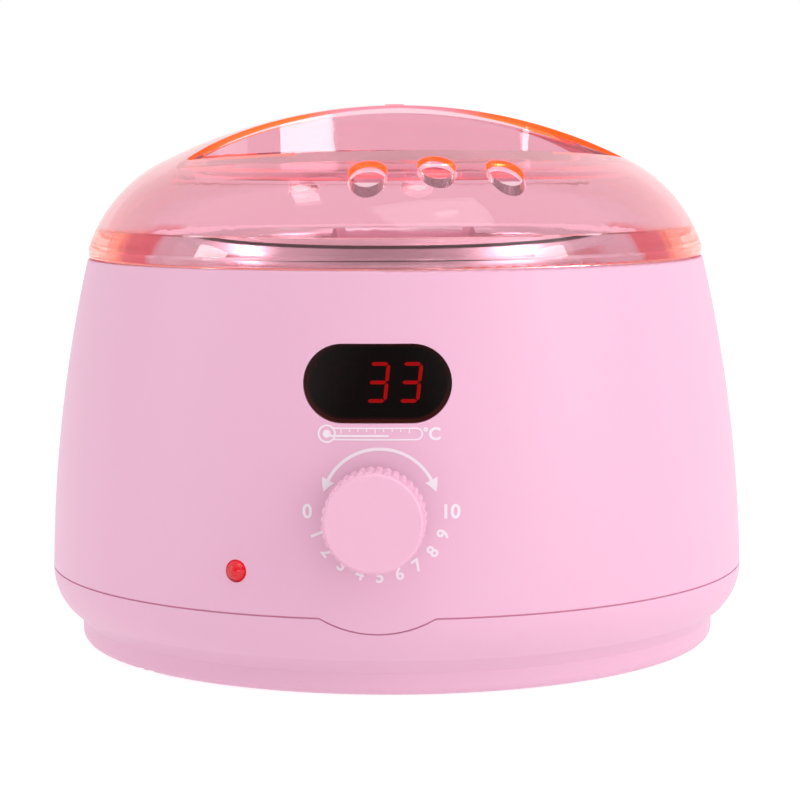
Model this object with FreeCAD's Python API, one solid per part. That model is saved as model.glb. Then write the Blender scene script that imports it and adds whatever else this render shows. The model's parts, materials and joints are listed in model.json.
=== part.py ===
"""Wax warmer pot: a heated aluminium well in a two-part housing.

It has a lift-out pot with a bail, and a clear domed lid.
Millimetres. +Z is up and Z = 0 is the table. The Z axis is the axis of the pot, and the front,
with the knob and the display, faces -Y. Angles named AZIMUTH are measured from the front,
positive towards +X.
"""
import FreeCAD, Part
import math
import os

V = FreeCAD.Vector
X_AXIS = V(1, 0, 0)
Y_AXIS = V(0, 1, 0)
Z_AXIS = V(0, 0, 1)
ORIGIN = V(0, 0, 0)

# Housing
SEAM_Z = 19.3            # joint between the base and the upper housing
SEAM_GAP = 0.4
BODY_R = 87.8            # widest radius, at the seam
SHOULDER_R = 78.0        # radius under the lid
HOUSING_TOP = 96.3
WALL = 2.5
FOOT_R = 80.6
FOOT_TOP = 5.6
FLOOR_Z = 5.5            # inside face of the base's floor
FLOOR_T = 2.5
RING_Z = 0.25            # the foot ring stops just above the table; the rubber feet touch it
TONGUE_R = 84.8          # lip on the base that stands inside the upper housing
TONGUE_T = 1.8
TONGUE_TOP = 22.8
TAB_R = 26.0             # round tab at the front that dips below the seam
TAB_DEPTH = 3.3
TAB_GAP = 0.35
VENT_SLOTS = 7          # cooling slots in the floor, in each of two rows
VENT_SLOT_PITCH = 8.0

# Heating chamber and lift-out pot
CHAMBER_R = 58.5
CHAMBER_T = 1.2
CHAMBER_FLOOR = 38.0
FLANGE_R = 75.2
FLANGE_EDGE_Z = 96.5
FLANGE_TOP_R = 63.0
FLANGE_TOP_Z = 98.9
GASKET_T = 0.8
POT_R = 56.5
POT_T = 1.0
POT_FLOOR = 39.7
POT_CORNER = 5.0         # inside radius between the pot's floor and its wall
POT_RIM_Z = 102.8
POT_SKIRT_R = 62.5
POT_SKIRT_Z = 99.4

# Bail of the pot
BAIL_R = 48.5
BAIL_WIRE_R = 1.25
BAIL_Z = 99.0
BAIL_BEND = 3.0
BAIL_END = 56.0
EAR_FACE = 51.9
RUNNING_GAP = 0.05

# Lid
LID_BOTTOM = 96.6
LID_R = 77.7
LID_T = 2.1
LID_TOP = 134.4
LID_REBATE_Z = 103.3     # inside step that stiffens the rim
LID_REBATE_R = 75.55
LID_TURN = 12.0          # degrees that the lid is set round from square
SHOULDER_LOW = 98.9      # where the upright rim meets the shoulder's arc
SHOULDER_MID = (70.1, 112.0)
CROWN_R = 131.0
CROWN_EDGE = 58.0        # radius where the shoulder's arc meets the crown's arc
RIDGE_HALF = 8.8         # half width of the grip left between the two finger recesses
RIDGE_STRAIGHT = 30.0    # half length of its straight walls
RIDGE_FLARE_R = 33.0     # radius in which the walls open out towards the rim
RECESS_R = 53.0
RECESS_FLOOR = 117.7
RECESS_HEIGHT = 20.0
RECESS_DRAFT = 4.0       # degrees
RECESS_CORNER = 2.5
VENT_R = 4.25
VENT_ROW = 61.0
VENT_PITCH = 16.0

# Front panel
WINDOW_Z = 71.5
WINDOW_W = 33.3
WINDOW_H = 17.6
WINDOW_SINK = 0.8
WINDOW_FLANGE_T = 1.6
KNOB_Z = 42.8
KNOB_R = 11.35
KNOB_FACE = 100.6        # distance of the knob's face from the pot's axis
KNOB_BACK = 91.3
KNURLS = 36
KNURL_DEPTH = 0.45
KNURL_OUTLINE = (           # share of one knurl's pitch, and its radius there
    (0.0, KNOB_R - KNURL_DEPTH), (0.17, KNOB_R - 0.22), (0.36, KNOB_R),
    (0.64, KNOB_R), (0.83, KNOB_R - 0.22))
KNOB_BEVEL = 0.45
SHAFT_R = 3.0
BUSH_R = 3.45
SEAT_OUT = 84.9          # flat seat of the potentiometer's nut, outside
SEAT_IN = 82.4           # flat seat of the potentiometer's body, inside
LAMP_Z = 29.0
LAMP_AZIMUTH = -21.6
LAMP_R = 2.5
LAMP_LENGTH = 7.2        # from the centre of the lamp's dome to its foot
LAMP_REACH = 88.9        # distance of the lamp's tip from the pot's axis

# Power inlet at the back, a two-pin figure-of-eight
INLET_Z = 32.0
INLET_W = 21.0
INLET_H = 12.0
INLET_FACE = 88.3
PIN_PITCH = 8.6
PIN_R = 1.2

# Inside
BOSS_R = 4.5
SCREW_PITCH_R = 70.0
HEATER_R = 50.0
HEATER_T = 5.0
MICA_T = 1.0
TAB_Y = 12.0
TAB_LEAD_Z = 30.2
PLATE_R = 38.0
PLATE_T = 1.5
BAR_T = 1.5
BOARD_TOP = 13.6
BOARD_T = 1.6
BOARD_X = (-34.0, 30.0)
BOARD_Y = (-20.0, 30.0)
FOOT_PITCH_R = 62.0
PAD_R = 6.0
TERMINALS = (-21.5, -16.0, -10.5, -5.0)   # across the terminal block
TERMINAL_Y = 25.0
TERMINAL_Z = 16.8
LEAD_R = 1.1
THIN_LEAD_R = 0.7


# ---------------------------------------------------------------- helpers

def profile_edges(start, steps):
    """Edges in the XZ plane: a step is a point for a line, or a pair of points for an arc."""
    edges = []
    here = V(start[0], 0, start[1])
    for step in steps:
        if isinstance(step[0], tuple):
            middle = V(step[0][0], 0, step[0][1])
            there = V(step[1][0], 0, step[1][1])
            edges.append(Part.Arc(here, middle, there).toShape())
        else:
            there = V(step[0], 0, step[1])
            edges.append(Part.LineSegment(here, there).toShape())
        here = there
    return edges


def revolved(start, *steps):
    """Solid of revolution about Z of a closed (radius, height) outline."""
    edges = profile_edges(start, steps + (start,))
    face = Part.Face(Part.Wire(edges))
    return face.revolve(ORIGIN, Z_AXIS, 360)


def cylinder(radius, z_low, z_high, x=0.0, y=0.0):
    return Part.makeCylinder(radius, z_high - z_low, V(x, y, z_low), Z_AXIS)


def rod_y(radius, y_low, y_high, x, z):
    """Cylinder along Y."""
    return Part.makeCylinder(radius, y_high - y_low, V(x, y_low, z), Y_AXIS)


def box(x_range, y_range, z_range):
    size = [high - low for low, high in (x_range, y_range, z_range)]
    return Part.makeBox(*size, V(x_range[0], y_range[0], z_range[0]))


def polar(radius, azimuth, z=0.0):
    """Point at an azimuth measured from the front."""
    angle = math.radians(azimuth)
    return V(radius * math.sin(angle), -radius * math.cos(angle), z)


def turned(shape, degrees):
    copy = shape.copy()
    copy.rotate(ORIGIN, Z_AXIS, degrees)
    return copy


def joined(shapes):
    first, *rest = shapes
    return first.fuse(rest).removeSplitter() if rest else first


def stadium_y(width, height, y_low, y_high, z):
    """Round-ended bar along Y, its outline centred on X = 0."""
    radius = height / 2
    flat = width / 2 - radius
    ends = [rod_y(radius, y_low, y_high, x, z) for x in (-flat, flat)]
    return joined(ends + [box((-flat, flat), (y_low, y_high), (z - radius, z + radius))])


def prism(points, length, direction):
    """Prism on a closed polygon of vectors."""
    face = Part.Face(Part.makePolygon(points + [points[0]]))
    return face.extrude(direction * length)


def hexagon_y(across_flats, y_low, y_high, x, z):
    radius = across_flats / math.sqrt(3)
    corners = []
    for i in range(6):
        angle = math.radians(60 * i)
        corners.append(V(x + radius * math.cos(angle), y_low, z + radius * math.sin(angle)))
    return prism(corners, y_high - y_low, Y_AXIS)


def lead(points, radius=LEAD_R):
    """Round wire along straight runs joined by tangent arcs."""
    points = [V(*p) for p in points]
    edges = []
    here = points[0]
    for before, corner, after in zip(points, points[1:], points[2:]):
        back = (before - corner).normalize()
        ahead = (after - corner).normalize()
        half = back.getAngle(ahead) / 2
        run = 0.45 * min(before.distanceToPoint(corner), corner.distanceToPoint(after))
        bisector = (back + ahead).normalize()
        reach = run / math.cos(half)
        bend = run * math.tan(half)
        entry = corner + back * run
        leave = corner + ahead * run
        crown = corner + bisector * (reach - bend)
        edges.append(Part.LineSegment(here, entry).toShape())
        edges.append(Part.Arc(entry, crown, leave).toShape())
        here = leave
    edges.append(Part.LineSegment(here, points[-1]).toShape())
    path = Part.Wire(edges)
    section = Part.Wire(Part.makeCircle(radius, points[0], points[1] - points[0]))
    return path.makePipeShell([section], True, False)


parts = {}


# ---------------------------------------------------------------- housing

def side_radius(z):
    """Outside radius of the upper housing, an arc through its foot, waist and shoulder."""
    arc = Part.Arc(V(BODY_R, 0, SEAM_Z), V(84.75, 0, 59.0), V(SHOULDER_R, 0, 95.7))
    circle = arc.toShape().Curve
    rise = z - circle.Center.z
    return circle.Center.x + math.sqrt(circle.Radius ** 2 - rise ** 2)


def outer_body():
    """Outside of base and upper housing as one solid."""
    return revolved(
        (0, RING_Z), (FOOT_R - 2.3, RING_Z), ((FOOT_R - 0.6, RING_Z + 0.6), (FOOT_R, RING_Z + 2.2)),
        (FOOT_R + 0.1, FOOT_TOP), ((81.7, 7.0), (83.9, 9.0)), ((86.6, 13.0), (BODY_R, SEAM_Z)),
        ((84.75, 59.0), (SHOULDER_R, 95.7)), ((SHOULDER_R - 0.2, 96.1), (SHOULDER_R - 0.7, HOUSING_TOP)),
        (0, HOUSING_TOP))


def inner_body():
    """Inside of the housing walls, from the base's floor to the shelf under the flange."""
    return revolved(
        (0, FLOOR_Z), (78.5, FLOOR_Z), ((82.6, 9.6), (TONGUE_R, 15.0)), (TONGUE_R + 0.3, SEAM_Z),
        ((84.75 - WALL, 59.0), (SHOULDER_R - WALL - 0.6, 90.9)), (61.0, 94.4), (0, 94.4))


def flange_z(radius):
    """Top of the chamber's conical flange."""
    slope = (FLANGE_TOP_Z - FLANGE_EDGE_Z) / (FLANGE_R - FLANGE_TOP_R)
    return FLANGE_EDGE_Z + slope * (FLANGE_R - radius)


def tab_tool(radius):
    """Bar along Y whose round underside shapes the front tab."""
    return rod_y(radius, -100, -60, 0, SEAM_Z - TAB_DEPTH + TAB_R)


def radial_boss(azimuth, z_low, z_high):
    """Screw boss with a rib that ties it to the housing wall."""
    boss = cylinder(BOSS_R, z_low, z_high, 0, -SCREW_PITCH_R)
    rib = box((-1.2, 1.2), (-86.0, -SCREW_PITCH_R), (max(z_low, TONGUE_TOP + 1.0), z_high))
    return turned(joined([boss, rib]), azimuth)


SCREW_AZIMUTHS = (45, 135, 225, 315)
BAR_AZIMUTHS = (90, 270)
BAR_Z = CHAMBER_FLOOR - CHAMBER_T - HEATER_T - MICA_T - PLATE_T


def make_upper_housing():
    shell = outer_body().cut(inner_body())
    above = cylinder(95, SEAM_Z + SEAM_GAP / 2, 120)
    tab = shell.common(tab_tool(TAB_R)).cut(cylinder(TONGUE_R + 0.15, 0, 40))
    housing = shell.common(above).fuse(tab.common(cylinder(95, 5, SEAM_Z + 1)))
    inside = outer_body().cut(cylinder(95, HOUSING_TOP - 4, 120))
    bosses = [radial_boss(a, SEAM_Z + 1.4, 44).common(inside) for a in SCREW_AZIMUTHS]
    bosses += [radial_boss(a, BAR_Z, 60).common(inside) for a in BAR_AZIMUTHS]
    seat = rod_y(11.0, -86, -SEAT_IN, 0, KNOB_Z).common(inside)
    housing = housing.fuse(bosses + [seat])

    shelf = revolved(
        (0, 90), (62.0, 90), (62.0, flange_z(62.0) - CHAMBER_T - GASKET_T),
        (75.8, flange_z(75.8) - CHAMBER_T - GASKET_T), (75.8, 130), (0, 130))
    tools = [shelf]
    tools.append(rod_y(BUSH_R + 0.15, -100, -60, 0, KNOB_Z))
    tools.append(rod_y(8.5, -100, -SEAT_OUT, 0, KNOB_Z))
    tools.append(rod_y(9.4, -SEAT_IN, -60, 0, KNOB_Z))
    tools.append(stadium_y(WINDOW_W, WINDOW_H, -100, -60, WINDOW_Z))
    tools.append(turned(rod_y(LAMP_R + 0.1, -100, -60, 0, LAMP_Z), LAMP_AZIMUTH))
    tools.append(box((-INLET_W / 2 - 0.1, INLET_W / 2 + 0.1), (60, 100),
                     (INLET_Z - INLET_H / 2 - 0.1, INLET_Z + INLET_H / 2 + 0.1)))
    tools.append(box((-12.7, 12.7), (INLET_FACE - 1.7, 100), (INLET_Z - 8.2, INLET_Z + 8.2)))
    for azimuth in SCREW_AZIMUTHS:
        tools.append(turned(cylinder(1.5, SEAM_Z, 36, 0, -SCREW_PITCH_R), azimuth))
    for azimuth in BAR_AZIMUTHS:
        tools.append(turned(cylinder(1.5, BAR_Z - 1, BAR_Z + 12, 0, -SCREW_PITCH_R), azimuth))
    return housing.cut(tools).removeSplitter()


def base_shell():
    """Floor, foot ring, flared wall and tongue of the base in one outline."""
    tongue_in = TONGUE_R - TONGUE_T
    under = FLOOR_Z - FLOOR_T
    ring_in = FOOT_R - 5.1
    return revolved(
        (0, under), (ring_in - 0.6, under), (ring_in, under - 0.6),
        (ring_in, RING_Z), (FOOT_R - 2.3, RING_Z),
        ((FOOT_R - 0.6, RING_Z + 0.6), (FOOT_R, RING_Z + 2.2)), (FOOT_R + 0.1, FOOT_TOP),
        ((81.7, 7.0), (83.9, 9.0)), ((86.6, 13.0), (BODY_R, SEAM_Z - SEAM_GAP / 2)),
        (TONGUE_R, SEAM_Z - SEAM_GAP / 2), (TONGUE_R, TONGUE_TOP - 0.4), (TONGUE_R - 0.4, TONGUE_TOP),
        (tongue_in, TONGUE_TOP), (tongue_in, 13.0), ((tongue_in - 1.1, 9.0), (78.5, FLOOR_Z)), (0, FLOOR_Z))


def make_base_housing():
    notch = tab_tool(TAB_R + TAB_GAP).common(cylinder(95, 5, SEAM_Z + 5))
    notch = notch.cut(cylinder(TONGUE_R + 0.1, 0, 40))
    base = base_shell().cut(notch)
    bosses = [turned(cylinder(BOSS_R, FLOOR_Z - 1, SEAM_Z + 1.2, 0, -SCREW_PITCH_R), a)
              for a in SCREW_AZIMUTHS]
    posts = [cylinder(3.0, FLOOR_Z - 1, BOARD_TOP - BOARD_T, x, y) for x, y in board_corners()]
    base = base.fuse(bosses + posts)

    tools = []
    for azimuth in SCREW_AZIMUTHS:
        tools.append(turned(cylinder(1.7, 0, 30, 0, -SCREW_PITCH_R), azimuth))
        tools.append(turned(cylinder(3.4, 0, 8.5, 0, -SCREW_PITCH_R), azimuth))
    for x, y in foot_places():
        tools.append(cylinder(PAD_R + 0.05, 0, FLOOR_Z - FLOOR_T + 1.0, x, y))
    for x, y in board_corners():
        tools.append(cylinder(1.2, FLOOR_Z, BOARD_TOP, x, y))
    for row in range(VENT_SLOTS):
        x = VENT_SLOT_PITCH * (row - (VENT_SLOTS - 1) / 2)
        sides = (x - 1.25, x + 1.25)
        tools.append(box(sides, (-54, -34), (0, 10)))
        tools.append(box(sides, (40, 54), (0, 10)))
    return base.cut(tools)


def foot_places():
    return [(FOOT_PITCH_R * math.cos(math.radians(a)), FOOT_PITCH_R * math.sin(math.radians(a)))
            for a in (20, 160, 200, 340)]


def board_corners():
    inset = 4.0
    return [(x, y) for x in (BOARD_X[0] + inset, BOARD_X[1] - inset)
            for y in (BOARD_Y[0] + inset, BOARD_Y[1] - inset)]


def make_feet():
    feet = []
    for x, y in foot_places():
        pad = cylinder(PAD_R, 0, FLOOR_Z - FLOOR_T + 1.0, x, y)
        rim = [e for e in pad.Edges if e.BoundBox.ZMax < 0.1]
        feet.append(pad.makeFillet(0.8, rim))
    return Part.makeCompound(feet)


def screw_up(radius, head_r, head_z, head_t, tip_z, x, y):
    """Pan-head screw that points up, with a cross slot in its head."""
    shank = cylinder(radius, head_z, tip_z, x, y)
    head = cylinder(head_r, head_z - head_t, head_z, x, y)
    low = head_z - head_t
    slot = box((x - head_r * 0.6, x + head_r * 0.6), (y - 0.35, y + 0.35), (low, low + 0.8))
    cross = slot.copy()
    cross.rotate(V(x, y, 0), Z_AXIS, 90)
    return shank.fuse(head).cut([slot, cross])


def make_housing_screws():
    places = [polar(SCREW_PITCH_R, a) for a in SCREW_AZIMUTHS]
    return Part.makeCompound([screw_up(1.5, 3.1, 8.5, 2.2, 34, p.x, p.y) for p in places])


# ---------------------------------------------------------------- heating chamber

def make_chamber():
    outside = CHAMBER_R + CHAMBER_T
    low = CHAMBER_FLOOR - CHAMBER_T
    under = flange_z(FLANGE_TOP_R) - CHAMBER_T
    cup = revolved(
        (0, CHAMBER_FLOOR), (CHAMBER_R - 6, CHAMBER_FLOOR),
        ((CHAMBER_R - 1.76, CHAMBER_FLOOR + 1.76), (CHAMBER_R, CHAMBER_FLOOR + 6)),
        (CHAMBER_R, 97.3), ((CHAMBER_R + 0.6, 98.7), (CHAMBER_R + 2.0, flange_z(CHAMBER_R + 2.0))),
        (FLANGE_R - 0.3, FLANGE_EDGE_Z + 0.06),
        ((FLANGE_R, FLANGE_EDGE_Z - 0.3), (FLANGE_R, FLANGE_EDGE_Z - 0.9)),
        (FLANGE_R, FLANGE_EDGE_Z - CHAMBER_T), (FLANGE_TOP_R, under), (outside, 97.0),
        (outside, CHAMBER_FLOOR + 6), ((outside - 2.1, low + 2.1), (CHAMBER_R - 6, low)), (0, low))
    stud = cylinder(2.0, BAR_Z - BAR_T - 4.0, low + 0.2)
    return cup.fuse(stud)


def make_gasket():
    def under(radius):
        return flange_z(radius) - CHAMBER_T
    return revolved((66, under(66)), (74.4, under(74.4)), (74.4, under(74.4) - GASKET_T),
                    (66, under(66) - GASKET_T))


def disc_stack(radius, z_low, z_high, hole):
    return cylinder(radius, z_low, z_high).cut(cylinder(hole, z_low - 1, z_high + 1))


def make_heater():
    top = CHAMBER_FLOOR - CHAMBER_T
    disc = disc_stack(HEATER_R, top - HEATER_T, top, 4.0)
    tabs = [box((-41, -35), (y - 3, y + 3), (top - HEATER_T - 3.2, top - HEATER_T))
            for y in (-TAB_Y, TAB_Y)]
    return disc.fuse(tabs)


def make_insulator():
    top = CHAMBER_FLOOR - CHAMBER_T - HEATER_T
    return disc_stack(PLATE_R - 4, top - MICA_T, top, 3.0)


def make_clamp_plate():
    top = BAR_Z + PLATE_T
    plate = disc_stack(PLATE_R - 5, top - PLATE_T, top, 2.2)
    holes = [turned(cylinder(4.5, top - 3, top + 1, 0, 20), 60 * i) for i in range(6)]
    return plate.cut(holes)


def make_retaining_bar():
    bar = box((-SCREW_PITCH_R, SCREW_PITCH_R), (-7, 7), (BAR_Z - BAR_T, BAR_Z))
    ends = [cylinder(7, BAR_Z - BAR_T, BAR_Z, x, 0) for x in (-SCREW_PITCH_R, SCREW_PITCH_R)]
    holes = [cylinder(1.8, BAR_Z - 3, BAR_Z + 1, x, 0) for x in (-SCREW_PITCH_R, SCREW_PITCH_R)]
    return joined([bar] + ends).cut(holes + [cylinder(2.2, BAR_Z - 3, BAR_Z + 1)])


def make_retaining_screws():
    screws = [screw_up(1.5, 3.0, BAR_Z - BAR_T, 2.0, BAR_Z + 10, x, 0)
              for x in (-SCREW_PITCH_R, SCREW_PITCH_R)]
    return Part.makeCompound(screws)


def make_clamp_nut():
    radius = 7.0 / math.sqrt(3)
    low = BAR_Z - BAR_T - 3.2
    corners = [V(radius * math.cos(math.radians(60 * i)), radius * math.sin(math.radians(60 * i)), low)
               for i in range(6)]
    return prism(corners, 3.2, Z_AXIS).cut(cylinder(2.0, low - 1, low + 5))


def make_sensor():
    block = turned(box((-4, 4), (-64.5, -58), (46, 58)), 150)
    return block.cut(cylinder(CHAMBER_R + CHAMBER_T, 40, 70))


def make_thermal_fuse():
    z = BAR_Z - 2.1
    body = Part.makeCylinder(2.1, 13, V(10, -22, z), X_AXIS)
    wires = [Part.makeCylinder(0.45, 5, V(x, -22, z), X_AXIS) for x in (5, 23)]
    return body.fuse(wires)


def make_fuse_clip():
    """Clip under the fuse, its foot flat against the retaining plate."""
    z = BAR_Z - 2.1
    block = box((14, 19), (-25.2, -18.8), (z - 2.9, BAR_Z))
    ear = box((14, 19), (-30, -25.2), (BAR_Z - 0.8, BAR_Z))
    bore = Part.makeCylinder(2.1, 7, V(13, -22, z), X_AXIS)
    throat = box((13, 20), (-23.8, -20.2), (z, BAR_Z + 1))
    return block.fuse(ear).cut([bore, throat])


# ---------------------------------------------------------------- electronics

def make_board():
    board = box(BOARD_X, BOARD_Y, (BOARD_TOP - BOARD_T, BOARD_TOP))
    corners = [e for e in board.Edges if e.BoundBox.ZLength > 1]
    board = board.makeFillet(2.0, corners)
    return board.cut([cylinder(1.5, 0, 30, x, y) for x, y in board_corners()])


def make_board_screws():
    screws = []
    for x, y in board_corners():
        shank = cylinder(1.2, FLOOR_Z + 1, BOARD_TOP, x, y)
        head = cylinder(2.6, BOARD_TOP, BOARD_TOP + 1.6, x, y)
        slot = box((x - 1.6, x + 1.6), (y - 0.3, y + 0.3), (BOARD_TOP + 0.9, BOARD_TOP + 2))
        screws.append(shank.fuse(head).cut(slot))
    return Part.makeCompound(screws)


def softened(solid, radius):
    """Block with its upright and top edges rounded."""
    bottom = solid.BoundBox.ZMin + 0.01
    return solid.makeFillet(radius, [e for e in solid.Edges if e.BoundBox.ZMax > bottom])


def make_terminal_block():
    block = softened(box((-25, -1), (17, TERMINAL_Y), (BOARD_TOP, BOARD_TOP + 9)), 0.4)
    wells = [cylinder(1.9, BOARD_TOP + 6.5, BOARD_TOP + 10, x, 21) for x in TERMINALS]
    mouths = [rod_y(1.4, TERMINAL_Y - 2, TERMINAL_Y + 1, x, TERMINAL_Z) for x in TERMINALS]
    return block.cut(wells + mouths)


def make_capacitor():
    can = cylinder(4.0, BOARD_TOP, BOARD_TOP + 9.5, 20, -10)
    return can.makeFillet(0.6, [e for e in can.Edges if e.BoundBox.ZMin > BOARD_TOP + 9])


def make_heater_leads():
    """From the terminal block round the board's corner up to the heater's tabs."""
    start = (TERMINALS[0], TERMINAL_Y - 1.5, TERMINAL_Z)
    near = [start, (TERMINALS[0], 38, TERMINAL_Z), (-44, 38, 23), (-50, 18, 29), (-47, TAB_Y, TAB_LEAD_Z),
            (-41, TAB_Y, TAB_LEAD_Z)]
    start = (TERMINALS[1], TERMINAL_Y - 1.5, TERMINAL_Z)
    far = [start, (TERMINALS[1], 42, TERMINAL_Z), (-46, 43, 21), (-54, 24, 23), (-54, -6, 24),
           (-50, -TAB_Y, TAB_LEAD_Z), (-41, -TAB_Y, TAB_LEAD_Z)]
    return Part.makeCompound([lead(near), lead(far)])


def make_inlet_leads():
    """From the inlet's pins down to the terminal block."""
    leads = []
    for pin_x, well_x in ((PIN_PITCH / 2, TERMINALS[3]), (-PIN_PITCH / 2, TERMINALS[2])):
        leads.append(lead([(pin_x, INLET_FACE - 20.5, INLET_Z), (pin_x, 58, INLET_Z),
                           (well_x, 42, TERMINAL_Z), (well_x, TERMINAL_Y - 1.5, TERMINAL_Z)]))
    return Part.makeCompound(leads)


def make_potentiometer_leads():
    """From the potentiometer's pins back to the front edge of the board."""
    pin_y = -(SEAT_IN - 2.25)
    leads = []
    for x in (-4, 0, 4):
        leads.append(lead([(x, pin_y, KNOB_Z - 18), (x, pin_y, 18), (x, -60, 15), (x, -15, 19),
                           (x, -15, BOARD_TOP)], THIN_LEAD_R))
    return Part.makeCompound(leads)


def make_display_leads():
    """From the back of the display board down past the chamber to the board."""
    leads = []
    for x in (10.0, 12.6, 15.2):
        leads.append(lead([(x, -68.0, WINDOW_Z - 8), (x, -64.5, WINDOW_Z - 8), (x, -66.5, 28), (x, -52, 17),
                           (x, -17.2, 19), (x, -17.2, BOARD_TOP)], THIN_LEAD_R))
    return Part.makeCompound(leads)


def make_lamp_leads():
    """From the lamp's foot to the board."""
    leads = []
    for side in (-1, 1):
        foot = polar(LAMP_REACH - LAMP_R - LAMP_LENGTH - 0.05, LAMP_AZIMUTH + side * 0.8)
        inner = polar(68, LAMP_AZIMUTH + side * 0.8)
        x = -20 + side * 1.2
        leads.append(lead([(foot.x, foot.y, LAMP_Z), (inner.x, inner.y, LAMP_Z), (x, -40, 16), (x, -17, 19),
                           (x, -17, BOARD_TOP)], THIN_LEAD_R))
    return Part.makeCompound(leads)


# ---------------------------------------------------------------- front panel

def make_window():
    """Smoked window that follows the housing's curve, with a flange behind the wall."""
    inside = inner_body()
    plug = side_block(WINDOW_SINK).common(stadium_y(WINDOW_W - 0.3, WINDOW_H - 0.3, -100, -60, WINDOW_Z))
    flange = inside.common(stadium_y(WINDOW_W + 4, WINDOW_H + 4, -100, -60, WINDOW_Z))
    back = side_block(WALL + WINDOW_FLANGE_T)
    return plug.fuse(flange).cut(back).removeSplitter()


def side_block(depth):
    """Solid of revolution whose side follows the housing's outside, moved in by a depth."""
    low, middle, high = 50.0, 70.0, 92.0
    return revolved((0, low), (side_radius(low) - depth, low),
                    ((side_radius(middle) - depth, middle), (side_radius(high) - depth, high)), (0, high))


def make_display_board():
    board = box((-19.5, 19.5), (-69.6, -68.0), (WINDOW_Z - 12, WINDOW_Z + 10))
    return board.cut([rod_y(1.3, -72, -65, x, z)
                      for x in (-17.3, 17.3) for z in (WINDOW_Z - 10, WINDOW_Z + 8)])


def make_display_digits():
    """Three-digit block: a frame of seven-segment recesses in front of the display board."""
    block = box((-11.25, 11.25), (-76.6, -69.6), (WINDOW_Z - 7, WINDOW_Z + 7))
    return block.makeFillet(0.4, [e for e in block.Edges if e.BoundBox.YMax < -76])


def make_lamp():
    ball = LAMP_REACH - LAMP_R
    body = rod_y(LAMP_R, -ball, -(ball - LAMP_LENGTH), 0, LAMP_Z)
    dome = Part.makeSphere(LAMP_R, V(0, -ball, LAMP_Z))
    flange = rod_y(LAMP_R + 0.45, -(ball - LAMP_LENGTH + 1), -(ball - LAMP_LENGTH), 0, LAMP_Z)
    return turned(joined([body, dome, flange]), LAMP_AZIMUTH)


def make_lamp_holder():
    inner = side_radius(LAMP_Z) - WALL
    ring = rod_y(4.6, -inner - 1.0, -(inner - 3.0), 0, LAMP_Z)
    ring = ring.cut(rod_y(LAMP_R + 0.05, -100, -60, 0, LAMP_Z))
    return turned(ring.common(inner_body()), LAMP_AZIMUTH)


def make_potentiometer():
    body = rod_y(8.2, -SEAT_IN, -(SEAT_IN - 8.5), 0, KNOB_Z)
    bush = rod_y(BUSH_R, -88.4, -SEAT_IN + 0.5, 0, KNOB_Z)
    tail = box((-6, 6), (-(SEAT_IN - 1.5), -(SEAT_IN - 3.0)), (KNOB_Z - 14.5, KNOB_Z))
    pins = [box((x - 0.6, x + 0.6), (-(SEAT_IN - 2.0), -(SEAT_IN - 2.5)), (KNOB_Z - 18, KNOB_Z - 14))
            for x in (-4, 0, 4)]
    bore = rod_y(SHAFT_R + RUNNING_GAP, -90, -(SEAT_IN - 6.5), 0, KNOB_Z)
    return joined([body, bush, tail] + pins).cut(bore)


def make_potentiometer_washer():
    return rod_y(6.4, -(SEAT_OUT + 0.6), -SEAT_OUT, 0, KNOB_Z).cut(rod_y(BUSH_R, -100, -60, 0, KNOB_Z))


def make_potentiometer_nut():
    nut = hexagon_y(10, -(SEAT_OUT + 2.6), -(SEAT_OUT + 0.6), 0, KNOB_Z)
    return nut.cut(rod_y(BUSH_R, -100, -60, 0, KNOB_Z))


def flatted(radius, y_low, y_high):
    """D-section bar along Y at the knob's axis, its flat on top."""
    return rod_y(radius, y_low, y_high, 0, KNOB_Z).cut(
        box((-9, 9), (y_low, y_high), (KNOB_Z + radius * 0.5, KNOB_Z + 9)))


def make_shaft():
    plain = rod_y(SHAFT_R, -91, -(SEAT_IN - 6.3), 0, KNOB_Z)
    return joined([plain, flatted(SHAFT_R, -98.0, -90.5)])


def make_knob():
    """The knob is hollow behind, with a hub and two ribs, and stands clear of the housing."""
    root_r = KNOB_R - KNURL_DEPTH
    front = KNOB_FACE - KNOB_BEVEL
    corners = []
    for i in range(KNURLS):
        for share, radius in KNURL_OUTLINE:
            angle = 2 * math.pi * (i + share) / KNURLS
            corners.append(V(radius * math.cos(angle), -front, KNOB_Z + radius * math.sin(angle)))
    grip = prism(corners, front - KNOB_BACK, Y_AXIS)
    bevel = Part.makeCone(root_r, root_r - KNOB_BEVEL, KNOB_BEVEL, V(0, -front, KNOB_Z), V(0, -1, 0))
    hollow = rod_y(9.3, -(KNOB_FACE - 2.0), -KNOB_BACK, 0, KNOB_Z)
    hub = rod_y(5.0, -(KNOB_FACE - 1.5), -(KNOB_BACK + 1.5), 0, KNOB_Z)
    depths = (-(KNOB_FACE - 1.5), -(KNOB_BACK + 4.5))
    ribs = [box((-9.6, 9.6), depths, (KNOB_Z - 0.6, KNOB_Z + 0.6)),
            box((-0.6, 0.6), depths, (KNOB_Z - 9.6, KNOB_Z + 9.6))]
    bore = flatted(SHAFT_R, -98.0, -KNOB_BACK)
    return grip.cut(hollow).fuse([bevel, hub] + ribs).cut(bore)


# ---------------------------------------------------------------- power inlet

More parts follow.
